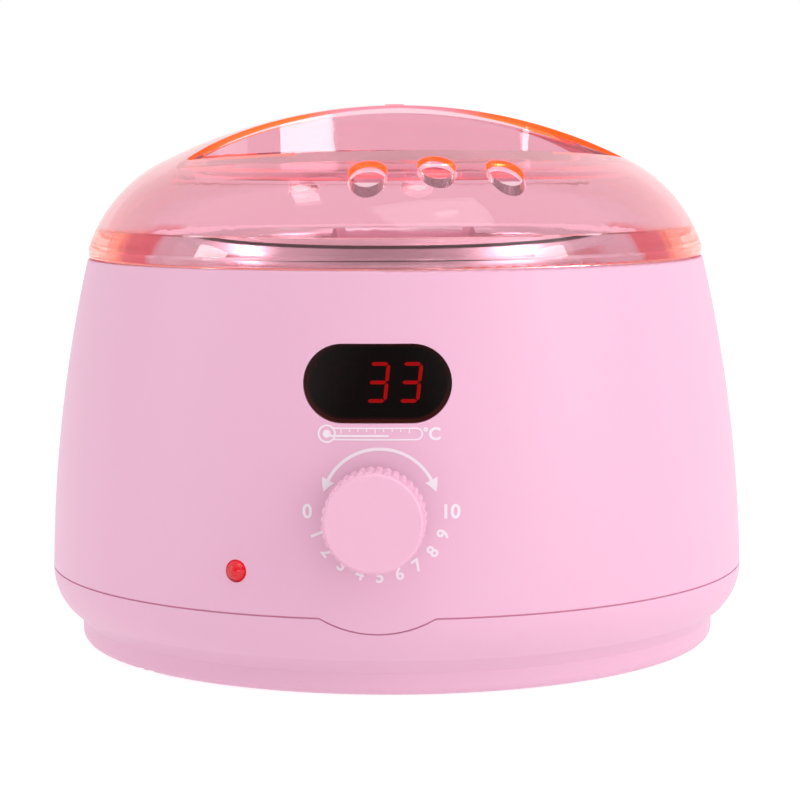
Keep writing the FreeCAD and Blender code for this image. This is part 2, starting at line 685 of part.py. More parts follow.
def make_inlet():
    body = box((-INLET_W / 2, INLET_W / 2), (INLET_FACE - 17, INLET_FACE - 1.6),
               (INLET_Z - INLET_H / 2, INLET_Z + INLET_H / 2))
    flange = box((-12.5, 12.5), (INLET_FACE - 1.6, INLET_FACE), (INLET_Z - 8, INLET_Z + 8))
    flange = flange.makeFillet(2.5, [e for e in flange.Edges if e.BoundBox.YLength > 1])
    mouth = stadium_y(PIN_PITCH + 8.6, 8.6, INLET_FACE - 12.5, INLET_FACE + 1, INLET_Z)
    floor = INLET_FACE - 12.5
    for side in (-1, 1):
        edge = INLET_Z + side * 4.3
        waist = prism([V(-3.2, floor, edge), V(3.2, floor, edge), V(0, floor, INLET_Z + side * 3.1)],
                      13.5, Y_AXIS)
        mouth = mouth.cut(waist)
    pins = [rod_y(PIN_R, INLET_FACE - 25, INLET_FACE - 10, x, INLET_Z)
            for x in (-PIN_PITCH / 2, PIN_PITCH / 2)]
    return joined([body, flange]).cut([mouth] + pins)


def make_inlet_pins():
    pins = []
    for x in (-PIN_PITCH / 2, PIN_PITCH / 2):
        pin = rod_y(PIN_R, INLET_FACE - 20.5, INLET_FACE - 2.5, x, INLET_Z)
        tip = [e for e in pin.Edges if e.BoundBox.YMin > INLET_FACE - 3]
        pins.append(pin.makeFillet(0.6, tip))
    return Part.makeCompound(pins)


# ---------------------------------------------------------------- inner pot and bail

def make_inner_pot():
    outside = POT_R + POT_T
    low = POT_FLOOR - POT_T
    bend = POT_R - POT_CORNER
    rise = POT_FLOOR + POT_CORNER
    mid_in = POT_CORNER * (1 - math.sqrt(0.5))
    mid_out = (POT_CORNER + POT_T) * (1 - math.sqrt(0.5))
    return revolved(
        (0, POT_FLOOR), (bend, POT_FLOOR), ((POT_R - mid_in, POT_FLOOR + mid_in), (POT_R, rise)),
        (POT_R, POT_RIM_Z - 1.4), ((POT_R + 0.4, POT_RIM_Z - 0.4), (POT_R + 1.4, POT_RIM_Z)),
        (POT_SKIRT_R - 0.8, POT_RIM_Z),
        ((POT_SKIRT_R - 0.23, POT_RIM_Z - 0.23), (POT_SKIRT_R, POT_RIM_Z - 0.8)),
        (POT_SKIRT_R, POT_SKIRT_Z), (POT_SKIRT_R - POT_T, POT_SKIRT_Z),
        (POT_SKIRT_R - POT_T, POT_RIM_Z - POT_T),
        (outside, POT_RIM_Z - POT_T), (outside, rise),
        ((outside - mid_out, low + mid_out), (bend, low)), (0, low))


def make_ear(side):
    """Pad on the pot's inner wall that holds one end of the bail, with a stop lug under the folded bail."""
    pad = box((EAR_FACE, 60), (-5.5, 5.5), (BAIL_Z - 5.5, BAIL_Z + 2.8))
    pad = pad.makeFillet(1.6, [e for e in pad.Edges if e.BoundBox.XLength > 5])
    lug = box((EAR_FACE - 3.4, 60), (2.2, 5.2), (BAIL_Z - 4.2, BAIL_Z - BAIL_WIRE_R - 0.3))
    ear = joined([pad, lug]).common(cylinder(POT_R, 80, 110))
    ear = ear.cut(Part.makeCylinder(BAIL_WIRE_R + RUNNING_GAP, 8, V(EAR_FACE - 1, 0, BAIL_Z), X_AXIS))
    return ear if side > 0 else ear.mirror(ORIGIN, X_AXIS)


def make_bail():
    """Wire: a half circle folded flat inside the pot's mouth, its ends bent out into the ears."""
    outward = BAIL_R + BAIL_BEND
    shift = BAIL_BEND * (1 - math.sqrt(0.5))

    def end(side):
        stub = Part.LineSegment(V(side * BAIL_END, 0, BAIL_Z), V(side * outward, 0, BAIL_Z)).toShape()
        bend = Part.Arc(V(side * outward, 0, BAIL_Z), V(side * (BAIL_R + shift), shift, BAIL_Z),
                        V(side * BAIL_R, BAIL_BEND, BAIL_Z)).toShape()
        return [stub, bend]
    bow = Part.Arc(V(BAIL_R, BAIL_BEND, BAIL_Z), V(0, BAIL_R + BAIL_BEND, BAIL_Z),
                   V(-BAIL_R, BAIL_BEND, BAIL_Z)).toShape()
    path = Part.Wire(Part.__sortEdges__(end(1) + [bow] + end(-1)))
    section = Part.Wire(Part.makeCircle(BAIL_WIRE_R, V(BAIL_END, 0, BAIL_Z), X_AXIS))
    return path.makePipeShell([section], True, False)


def make_bail_grip():
    """Sleeve round the middle of the bail, with a bead at each end."""
    span = 46.0
    centre_y = BAIL_BEND

    def ring(tube, degrees):
        sweep = Part.makeCircle(tube, V(BAIL_R, 0, 0), Y_AXIS)
        face = Part.Face(Part.Wire(sweep))
        piece = face.revolve(ORIGIN, Z_AXIS, degrees)
        piece.rotate(ORIGIN, Z_AXIS, 90 - degrees / 2)
        piece.translate(V(0, centre_y, BAIL_Z))
        return piece
    sleeve = ring(3.0, span)
    bead = ring(3.6, 3.0)
    beads = []
    for side in (-1, 1):
        moved = bead.copy()
        moved.rotate(V(0, centre_y, 0), Z_AXIS, side * (span - 3.0) / 2)
        beads.append(moved)
    return joined([sleeve] + beads).cut(ring(BAIL_WIRE_R, span + 4))


# ---------------------------------------------------------------- lid

def dome(depth, rim_r):
    """Solid under the lid's dome, moved in by a depth: an upright rim, a shoulder arc and a crown arc."""
    rim = V(LID_R, 0, SHOULDER_LOW)
    middle = V(SHOULDER_MID[0], 0, SHOULDER_MID[1])
    crown_low = V(CROWN_EDGE, 0, LID_TOP - CROWN_R + math.sqrt(CROWN_R ** 2 - CROWN_EDGE ** 2))
    centre = Part.Arc(rim, middle, crown_low).toShape().Curve.Center
    rim, middle, crown_low = [p + (centre - p).normalize() * depth for p in (rim, middle, crown_low)]
    half = crown_low.x / 2
    crown_r = CROWN_R - depth
    crown_mid = (half, LID_TOP - CROWN_R + math.sqrt(crown_r ** 2 - half ** 2))
    corner = min(0.5, rim.z - LID_BOTTOM)
    return revolved(
        (0, LID_BOTTOM), (rim_r - corner, LID_BOTTOM),
        ((rim_r - 0.3 * corner, LID_BOTTOM + 0.3 * corner), (rim_r, LID_BOTTOM + corner)),
        (rim.x, rim.z), ((middle.x, middle.z), (crown_low.x, crown_low.z)),
        (crown_mid, (0, LID_TOP - depth)))


def recess_outline(z, grow):
    """Closed outline of one finger recess, a D between the grip's wall and a round front wall."""
    flare_x = RIDGE_STRAIGHT
    flare_y = -RIDGE_HALF - RIDGE_FLARE_R
    # the flare meets the front wall where the two circles cross
    front_r = RECESS_R + 8.0
    front_y = 8.0
    gap_y = flare_y - front_y
    span = math.hypot(flare_x, gap_y)
    along = (front_r ** 2 - RIDGE_FLARE_R ** 2 + span ** 2) / (2 * span)
    side = math.sqrt(front_r ** 2 - along ** 2)
    ux, uy = flare_x / span, gap_y / span
    tip_x = along * ux - side * uy
    tip_y = front_y + along * uy + side * ux
    bow = math.atan2(tip_y - flare_y, tip_x - flare_x)
    middle_angle = (bow + math.pi / 2) / 2
    flare_mid = (flare_x + RIDGE_FLARE_R * math.cos(middle_angle),
                 flare_y + RIDGE_FLARE_R * math.sin(middle_angle))
    points = {
        "left": V(-flare_x, -RIDGE_HALF, z), "right": V(flare_x, -RIDGE_HALF, z),
        "tip": V(tip_x, tip_y, z), "other": V(-tip_x, tip_y, z)}
    edges = [
        Part.LineSegment(points["left"], points["right"]).toShape(),
        Part.Arc(points["right"], V(flare_mid[0], flare_mid[1], z), points["tip"]).toShape(),
        Part.Arc(points["tip"], V(0, front_y - front_r, z), points["other"]).toShape(),
        Part.Arc(points["other"], V(-flare_mid[0], flare_mid[1], z), points["left"]).toShape()]
    face = Part.Face(Part.Wire(edges))
    inner = face.makeOffset2D(-RECESS_CORNER, join=2)
    return inner.makeOffset2D(RECESS_CORNER + grow, join=0).OuterWire


def recess(grow):
    """Tapered plug of a finger recess, enlarged on its sides and underneath."""
    widen = RECESS_HEIGHT * math.tan(math.radians(RECESS_DRAFT))
    low = RECESS_FLOOR - grow
    bottom = recess_outline(low, grow)
    top = recess_outline(low + RECESS_HEIGHT, grow + widen)
    plug = Part.makeLoft([bottom, top], True, True)
    return plug.fuse(turned(plug, 180))


def make_lid():
    outer = dome(0, LID_R).cut(recess(0))
    inner = dome(LID_T, LID_R - LID_T).cut(recess(LID_T))
    rebate = cylinder(LID_REBATE_R, LID_BOTTOM - 1, LID_REBATE_Z)
    vents = [cylinder(VENT_R, 100, 140, VENT_PITCH * i, side * VENT_ROW)
             for i in (-1, 0, 1) for side in (-1, 1)]
    gate = cylinder(2.4, LID_TOP - 1.0, LID_TOP + 0.15)
    lid = outer.cut([inner, rebate] + vents).fuse(gate)
    return turned(lid, LID_TURN)


# ---------------------------------------------------------------- assembly

def build():
    parts["upper_housing"] = make_upper_housing()
    parts["base_housing"] = make_base_housing()
    parts["rubber_feet"] = make_feet()
    parts["housing_screws"] = make_housing_screws()
    parts["rating_plate"] = box((-18, 18), (-10, 10), (FLOOR_Z - FLOOR_T - 0.4, FLOOR_Z - FLOOR_T))
    parts["heating_chamber"] = make_chamber()
    parts["chamber_gasket"] = make_gasket()
    parts["heater_disc"] = make_heater()
    parts["heater_insulator"] = make_insulator()
    parts["heater_clamp_plate"] = make_clamp_plate()
    parts["retaining_bar"] = make_retaining_bar()
    parts["retaining_screws"] = make_retaining_screws()
    parts["clamp_nut"] = make_clamp_nut()
    parts["temperature_sensor"] = make_sensor()
    parts["thermal_fuse"] = make_thermal_fuse()
    parts["fuse_clip"] = make_fuse_clip()
    parts["control_board"] = make_board()
    parts["board_screws"] = make_board_screws()
    parts["terminal_block"] = make_terminal_block()
    parts["relay"] = softened(box((-27, -9), (-14, -3), (BOARD_TOP, BOARD_TOP + 9)), 0.5)
    parts["transformer"] = softened(box((6, 24), (8, 24), (BOARD_TOP, BOARD_TOP + 12)), 0.8)
    parts["filter_capacitor"] = make_capacitor()
    parts["heater_leads"] = make_heater_leads()
    parts["inlet_leads"] = make_inlet_leads()
    parts["potentiometer_leads"] = make_potentiometer_leads()
    parts["display_leads"] = make_display_leads()
    parts["lamp_leads"] = make_lamp_leads()
    parts["display_window"] = make_window()
    parts["display_board"] = make_display_board()
    parts["display_digits"] = make_display_digits()
    parts["indicator_lamp"] = make_lamp()
    parts["lamp_holder"] = make_lamp_holder()
    parts["potentiometer"] = make_potentiometer()
    parts["potentiometer_washer"] = make_potentiometer_washer()
    parts["potentiometer_nut"] = make_potentiometer_nut()
    parts["potentiometer_shaft"] = make_shaft()
    parts["thermostat_knob"] = make_knob()
    parts["power_inlet"] = make_inlet()
    parts["inlet_pins"] = make_inlet_pins()
    parts["inner_pot"] = make_inner_pot()
    parts["bail_ears"] = Part.makeCompound([make_ear(1), make_ear(-1)])
    parts["bail_wire"] = make_bail()
    parts["bail_grip"] = make_bail_grip()
    parts["lid"] = make_lid()


def main():
    build()
    os.makedirs("parts", exist_ok=True)
    for name, shape in parts.items():
        shape.exportStep(f"parts/{name}.step")
        bounds = shape.BoundBox
        print(f"{name:22s} solids {len(shape.Solids)} valid {shape.isValid()} "
              f"volume {shape.Volume / 1000:8.2f} cm3"
              f"  x {bounds.XMin:.1f}..{bounds.XMax:.1f} y {bounds.YMin:.1f}..{bounds.YMax:.1f}"
              f" z {bounds.ZMin:.1f}..{bounds.ZMax:.1f}")


main()
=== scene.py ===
import json
import math

import bmesh
import bpy
from mathutils import Matrix, Vector
from mathutils.bvhtree import BVHTree

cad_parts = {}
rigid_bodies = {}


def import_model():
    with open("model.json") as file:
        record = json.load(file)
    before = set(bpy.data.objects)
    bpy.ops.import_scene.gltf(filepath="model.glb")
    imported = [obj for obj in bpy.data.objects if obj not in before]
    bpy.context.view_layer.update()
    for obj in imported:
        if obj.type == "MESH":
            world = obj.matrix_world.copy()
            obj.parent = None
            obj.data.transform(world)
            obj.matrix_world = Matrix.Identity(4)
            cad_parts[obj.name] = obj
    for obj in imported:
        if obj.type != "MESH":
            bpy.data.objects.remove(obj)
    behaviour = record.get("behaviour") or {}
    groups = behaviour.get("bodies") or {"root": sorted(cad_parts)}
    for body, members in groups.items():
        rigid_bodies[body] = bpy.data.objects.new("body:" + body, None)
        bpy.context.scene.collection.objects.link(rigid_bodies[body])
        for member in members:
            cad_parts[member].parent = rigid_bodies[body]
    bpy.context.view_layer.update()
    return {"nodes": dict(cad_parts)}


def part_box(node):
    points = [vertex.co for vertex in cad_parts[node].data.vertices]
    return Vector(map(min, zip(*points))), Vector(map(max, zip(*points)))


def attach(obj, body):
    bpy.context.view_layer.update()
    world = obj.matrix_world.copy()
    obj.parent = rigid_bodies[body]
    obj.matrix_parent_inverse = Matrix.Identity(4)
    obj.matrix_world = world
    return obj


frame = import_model()
nodes = frame["nodes"]
scene = bpy.context.scene
MM = 0.001


# ---------------------------------------------------------------- camera
CAMERA_TURN = math.radians(2.9)
CAMERA_DISTANCE = 0.61065
CAMERA_HEIGHT = 0.12344
CAMERA_DIP = math.radians(6.01)
CAMERA_ROLL = math.radians(0.317)
CAMERA_LENS = 107.51
CAMERA_SHIFT = 0.00506


def make_camera():
    """Stands in front of the pot, a little to its right, looking slightly down at its axis."""
    cam = bpy.data.cameras.new("camera")
    cam.lens = CAMERA_LENS
    cam.sensor_width = 36.0
    cam.shift_x = CAMERA_SHIFT
    cam.clip_start = 0.01
    cam.clip_end = 50.0
    cam.dof.use_dof = False
    obj = bpy.data.objects.new("camera", cam)
    scene.collection.objects.link(obj)
    out = Vector((math.sin(CAMERA_TURN), -math.cos(CAMERA_TURN), 0.0))
    look = -out * math.cos(CAMERA_DIP) - Vector((0, 0, 1)) * math.sin(CAMERA_DIP)
    side = look.cross(Vector((0, 0, 1))).normalized()
    up = side.cross(look).normalized()
    right = side * math.cos(CAMERA_ROLL) - up * math.sin(CAMERA_ROLL)
    top = side * math.sin(CAMERA_ROLL) + up * math.cos(CAMERA_ROLL)
    turn = Matrix((right, top, -look)).transposed().to_4x4()
    place = out * CAMERA_DISTANCE + Vector((0, 0, CAMERA_HEIGHT))
    obj.matrix_world = Matrix.Translation(place) @ turn
    scene.camera = obj


# ---------------------------------------------------------------- node helpers
def wire(tree, source, socket):
    """Sets a socket from a number, a colour or another node's output."""
    if isinstance(source, bpy.types.NodeSocket):
        tree.links.new(source, socket)
    else:
        socket.default_value = source


def add(tree, kind, inputs=(), **settings):
    """Adds a shader node, with its settings and its inputs."""
    node = tree.nodes.new("ShaderNode" + kind)
    for key, value in settings.items():
        setattr(node, key, value)
    for key, value in dict(inputs).items():
        wire(tree, value, node.inputs[key])
    return node


def math_node(tree, operation, a, b=0.0, c=0.0):
    return add(tree, "Math", {0: a, 1: b, 2: c}, operation=operation).outputs[0]


def noise(tree, scale, vector=None, detail=3.0):
    inputs = {"Scale": scale, "Detail": detail}
    if vector is not None:
        inputs["Vector"] = vector
    return add(tree, "TexNoise", inputs).outputs["Fac"]


def ramp_between(tree, value, low, high, to_low=0.0, to_high=1.0):
    """Maps a value from one range to another, and holds it at the ends."""
    inputs = {"Value": value, "From Min": low, "From Max": high, "To Min": to_low, "To Max": to_high}
    return add(tree, "MapRange", inputs, clamp=True).outputs["Result"]


def mix_colour(tree, factor, a, b):
    node = add(tree, "Mix", data_type="RGBA")
    wire(tree, factor, node.inputs["Factor"])
    wire(tree, a, node.inputs["A"])
    wire(tree, b, node.inputs["B"])
    return node.outputs["Result"]


def place_of(tree):
    """The point on the piece, in metres, which stays on the piece as it moves."""
    return add(tree, "TexCoord").outputs["Object"]


def rgba(colour):
    return (*colour, 1.0)


def scaled(colour, k):
    return tuple(min(1.0, c * k) for c in colour)


def new_material(name, sockets):
    mat = bpy.data.materials.new(name)
    mat.use_nodes = True
    tree = mat.node_tree
    shader = tree.nodes["Principled BSDF"]
    for key, value in sockets.items():
        wire(tree, value, shader.inputs[key])
    return mat, tree, shader


def bumped(tree, shader, height, distance):
    """Raises a material's surface by a height pattern, up to a distance in metres."""
    bump = add(tree, "Bump", {"Strength": 1.0, "Distance": distance, "Height": height})
    tree.links.new(bump.outputs["Normal"], shader.inputs["Normal"])


# ---------------------------------------------------------------- materials
def moulded(name, colour, rough, grain=2600.0, depth=0.00003, mottle=0.02, spread=0.05, **sockets):
    """Moulded plastic: a fine grain, and a slow change of colour and of shine."""
    mat, tree, shader = new_material(name, sockets)
    at = place_of(tree)
    slow = noise(tree, 24.0, at, 2.0)
    fine = noise(tree, grain, at, 2.0)
    tint = mix_colour(tree, slow, rgba(scaled(colour, 1 - mottle)), rgba(scaled(colour, 1 + mottle)))
    wire(tree, tint, shader.inputs["Base Color"])
    slow_part = math_node(tree, "MULTIPLY", slow, 0.6)
    fine_part = math_node(tree, "MULTIPLY", fine, 0.4)
    shine = math_node(tree, "ADD", slow_part, fine_part)
    roughness = ramp_between(tree, shine, 0.3, 0.7, rough - spread, rough + spread)
    wire(tree, roughness, shader.inputs["Roughness"])
    bumped(tree, shader, fine, depth)
    return mat


def spun(name, colour, rough, pitch=0.0004, depth=0.000012, **sockets):
    """Metal turned about the Z axis: fine rings, with the shine changing from ring to ring."""
    mat, tree, shader = new_material(name, {"Metallic": 1.0, **sockets})
    at = place_of(tree)
    parts = add(tree, "SeparateXYZ", {"Vector": at})
    flat = add(tree, "CombineXYZ", {"X": parts.outputs["X"], "Y": parts.outputs["Y"]})
    radius = add(tree, "VectorMath", {0: flat.outputs[0]}, operation="LENGTH").outputs["Value"]
    line = add(tree, "CombineXYZ", {"X": radius, "Y": parts.outputs["Z"]}).outputs[0]
    rings = noise(tree, 1.0 / pitch, line, 3.0)
    cloud = noise(tree, 30.0, at, 3.0)
    ring_part = math_node(tree, "MULTIPLY", rings, 0.5)
    cloud_part = math_node(tree, "MULTIPLY", cloud, 0.5)
    wear = math_node(tree, "ADD", ring_part, cloud_part)
    roughness = ramp_between(tree, wear, 0.3, 0.7, rough * 0.6, rough * 1.6)
    wire(tree, roughness, shader.inputs["Roughness"])
    tint = mix_colour(tree, rings, rgba(scaled(colour, 0.93)), rgba(colour))
    wire(tree, tint, shader.inputs["Base Color"])
    bumped(tree, shader, rings, depth)
    return mat


def drawn(name, colour, rough, stretch=(1.0, 12.0, 12.0), **sockets):
    """Brushed or drawn metal: streaks along one axis."""
    mat, tree, shader = new_material(name, {"Metallic": 1.0, **sockets})
    at = place_of(tree)
    pulled = add(tree, "VectorMath", {0: at, 1: stretch}, operation="MULTIPLY").outputs[0]
    streak = noise(tree, 160.0, pulled, 4.0)
    tint = mix_colour(tree, streak, rgba(scaled(colour, 0.85)), rgba(colour))
    wire(tree, tint, shader.inputs["Base Color"])
    roughness = ramp_between(tree, streak, 0.3, 0.7, rough * 0.7, rough * 1.4)
    wire(tree, roughness, shader.inputs["Roughness"])
    bumped(tree, shader, streak, 0.00001)
    return mat


def board_green(name):
    """A circuit board: solder mask over tracks, with pale pads."""
    mat, tree, shader = new_material(name, {"Specular IOR Level": 0.55})
    at = place_of(tree)
    cells = add(tree, "TexVoronoi", {"Vector": at, "Scale": 260.0}, distance="MANHATTAN", feature="F1")
    track = ramp_between(tree, cells.outputs["Distance"], 0.45, 0.55)
    pads = ramp_between(tree, cells.outputs["Distance"], 0.10, 0.14, 1.0, 0.0)
    green = mix_colour(tree, track, (0.02, 0.14, 0.05, 1), (0.04, 0.24, 0.09, 1))
    wire(tree, mix_colour(tree, pads, green, (0.62, 0.60, 0.52, 1)), shader.inputs["Base Color"])
    wire(tree, ramp_between(tree, pads, 0.0, 1.0, 0.35, 0.22), shader.inputs["Roughness"])
    bumped(tree, shader, track, 0.00004)
    return mat


def braided(name, colour):
    """A lead's woven glass-fibre sleeve."""
    mat, tree, shader = new_material(name, {"Sheen Weight": 0.3})
    at = place_of(tree)
    weave = add(tree, "TexVoronoi", {"Vector": at, "Scale": 2200.0}, feature="F1").outputs["Distance"]
    tint = mix_colour(tree, weave, rgba(scaled(colour, 1.15)), rgba(scaled(colour, 0.6)))
    wire(tree, tint, shader.inputs["Base Color"])
    wire(tree, ramp_between(tree, weave, 0.0, 1.0, 0.45, 0.75), shader.inputs["Roughness"])
    bumped(tree, shader, weave, 0.00005)
    return mat


def mica_sheet(name):
    """Pressed mica: flakes and a cloudy brown."""
    mat, tree, shader = new_material(name, {"Coat Weight": 0.3, "Coat Roughness": 0.2})
    at = place_of(tree)
    flake = add(tree, "TexVoronoi", {"Vector": at, "Scale": 320.0}, feature="F1")
    cloud = noise(tree, 60.0, at, 5.0)
    tint = mix_colour(tree, cloud, (0.40, 0.27, 0.14, 1), (0.72, 0.58, 0.38, 1))
    wire(tree, tint, shader.inputs["Base Color"])
    edge = flake.outputs["Distance"]
    wire(tree, ramp_between(tree, edge, 0.0, 1.0, 0.25, 0.6), shader.inputs["Roughness"])
    bumped(tree, shader, edge, 0.00006)
    return mat


def surface_of(node):
    """A node's surface, for casting rays at it."""
    bm = bmesh.new()
    bm.from_mesh(node.data)
    tree = BVHTree.FromBMesh(bm)
    bm.free()
    return tree


# The lid's own measures, in metres, with X along its ridge.
LID_TURN = math.radians(12.0)
CROWN_R = 0.131  # radius of the sphere that the ridge's crest lies on
LID_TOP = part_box("lid")[1].z
LID_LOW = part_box("lid")[0].z
LID_REBATE = LID_LOW + 0.0067
FLOOR_Z = 0.1177  # floor of the recesses beside the ridge
TIP_X = 0.064  # where the ridge runs out
RIDGE_Y = 0.045  # the crest's and the foot's painted glow lies only inside this half width
VENT_X = (-0.016, 0.0, 0.016)
VENT_OUT = 0.061
VENT_R = 0.00425
VENT_LIP = 0.0012  # depth of the part of a vent's wall with painted orange glow; below it the wall gets painted pale light
# Where the dome's height is probed: two radii clear of the recesses, between the vents.
PROBE_RADII = (0.058, 0.066)
PROBE_AZIMUTH = math.radians(45.0)
# The plastic's colours: clear, seen at a slant, and the base colours of its painted glow at the rim's
# ends and at its cut edges.
CLEAR = ((0.85, 0.585, 0.66, 1), (0.88, 0.615, 0.685, 1))
SLANTED = (0.80, 0.30, 0.33, 1)
RIM_RED = (0.63, 0.08, 0.10, 1)
RIM_ORANGE = (1.0, 0.36, 0.24, 1)
CUT_ORANGE = (1.0, 0.05, 0.004, 1)
CUT_ROSE = (1.0, 0.12, 0.16, 1)
# The colours of its painted glow, an emission standing in for light gathered inside the plastic, in the
# same places, on a vent's lower wall and on a recess's floor.
GLOW_CLEAR = (1.0, 0.40, 0.46, 1)
GLOW_CUT = (1.0, 0.110, 0.006, 1)
GLOW_RED = (0.80, 0.05, 0.07, 1)
GLOW_ORANGE = (1.0, 0.20, 0.10, 1)
GLOW_ROSE = (0.95, 0.14, 0.20, 1)
GLOW_WALL = (0.85, 0.58, 0.66, 1)
GLOW_RECESS = (1.0, 0.27, 0.24, 1)
# How strongly each place's painted glow shines; LID_GLOW is a faint painted glow over the whole lid.
LID_GLOW = 0.03
CUT_GLOW = 0.75
RIM_GLOW = 0.16
WALL_GLOW = 0.5
FLOOR_GLOW = 0.085
lid_surface = surface_of(nodes["lid"])


def dome_height(radius):
    """The height of the lid's outer face at a radius, clear of the vents."""
    above = Vector((radius * math.cos(PROBE_AZIMUTH), radius * math.sin(PROBE_AZIMUTH), 0.2))
    return lid_surface.ray_cast(above, Vector((0, 0, -1)))[0].z


def painted_glow_masks(tree, at, x, y, z, steep):
    """Masks of the lid's painted glow: its cut edges, the rosy part of the crest, and the vents' lower
    walls with painted pale light.

    The edges are the vents' upper walls and the ridge's crest and foot.
    """
    out = math_node(tree, "SUBTRACT", math_node(tree, "ABSOLUTE", y), VENT_OUT)
    near = None
    for centre in VENT_X:
        across = math_node(tree, "SUBTRACT", x, centre)
        spot = add(tree, "CombineXYZ", {"X": across, "Y": out}).outputs[0]
        gap = add(tree, "VectorMath", {0: spot}, operation="LENGTH").outputs["Value"]
        near = gap if near is None else math_node(tree, "MINIMUM", near, gap)
    flat = add(tree, "CombineXYZ", {"X": x, "Y": y}).outputs[0]
    radius = add(tree, "VectorMath", {0: flat}, operation="LENGTH").outputs["Value"]
    heights = [dome_height(r) for r in PROBE_RADII]
    slope = {"Value": radius, "From Min": PROBE_RADII[0], "From Max": PROBE_RADII[1],
             "To Min": heights[0], "To Max": heights[1]}
    skin = add(tree, "MapRange", slope, clamp=False).outputs["Result"]
    hole = ramp_between(tree, near, VENT_R + 0.0002, VENT_R + 0.0004, 1.0, 0.0)
    vent = math_node(tree, "MULTIPLY", hole, ramp_between(tree, out, 0.0002, 0.0020, 1.0, 0.0))
    sunk = math_node(tree, "SUBTRACT", skin, z)
    # Below VENT_LIP a vent's wall gets painted pale light; above it, the painted orange glow.
    lip = (VENT_LIP - 0.0001, VENT_LIP + 0.0001)
    pale = math_node(tree, "MULTIPLY", vent, ramp_between(tree, sunk, *lip))
    vent = math_node(tree, "MULTIPLY", vent, ramp_between(tree, sunk, *lip, 1.0, 0.0))
    centre = (0, 0, LID_TOP - CROWN_R)
    crown = add(tree, "VectorMath", {0: at, 1: centre}, operation="DISTANCE").outputs["Value"]
    from_x = math_node(tree, "ABSOLUTE", x)
    swell = ramp_between(tree, from_x, 0.0, 0.042, 0.0008, 0.0015)
    taper = math_node(tree, "MULTIPLY", math_node(tree, "SUBTRACT", TIP_X, from_x), 0.09)
    depth = math_node(tree, "SUBTRACT", CROWN_R, crown)
    crest = math_node(tree, "LESS_THAN", depth, math_node(tree, "MINIMUM", swell, taper))
    crest = math_node(tree, "MULTIPLY", crest, steep)
    crest = math_node(tree, "MULTIPLY", crest, math_node(tree, "GREATER_THAN", z, FLOOR_Z - 0.0015))
    inside = math_node(tree, "LESS_THAN", math_node(tree, "ABSOLUTE", y), RIDGE_Y)
    crest = math_node(tree, "MULTIPLY", crest, inside)
    above = math_node(tree, "ABSOLUTE", math_node(tree, "SUBTRACT", z, FLOOR_Z))
    foot = ramp_between(tree, above, 0.0002, 0.0005, 1.0, 0.0)
    foot = math_node(tree, "MULTIPLY", math_node(tree, "MULTIPLY", foot, steep), 0.45)
    foot = math_node(tree, "MULTIPLY", foot, inside)
    rose = math_node(tree, "MULTIPLY", ramp_between(tree, from_x, 0.013, 0.024, 1.0, 0.0), crest)
    return math_node(tree, "MAXIMUM", vent, math_node(tree, "MAXIMUM", crest, foot)), rose, pale


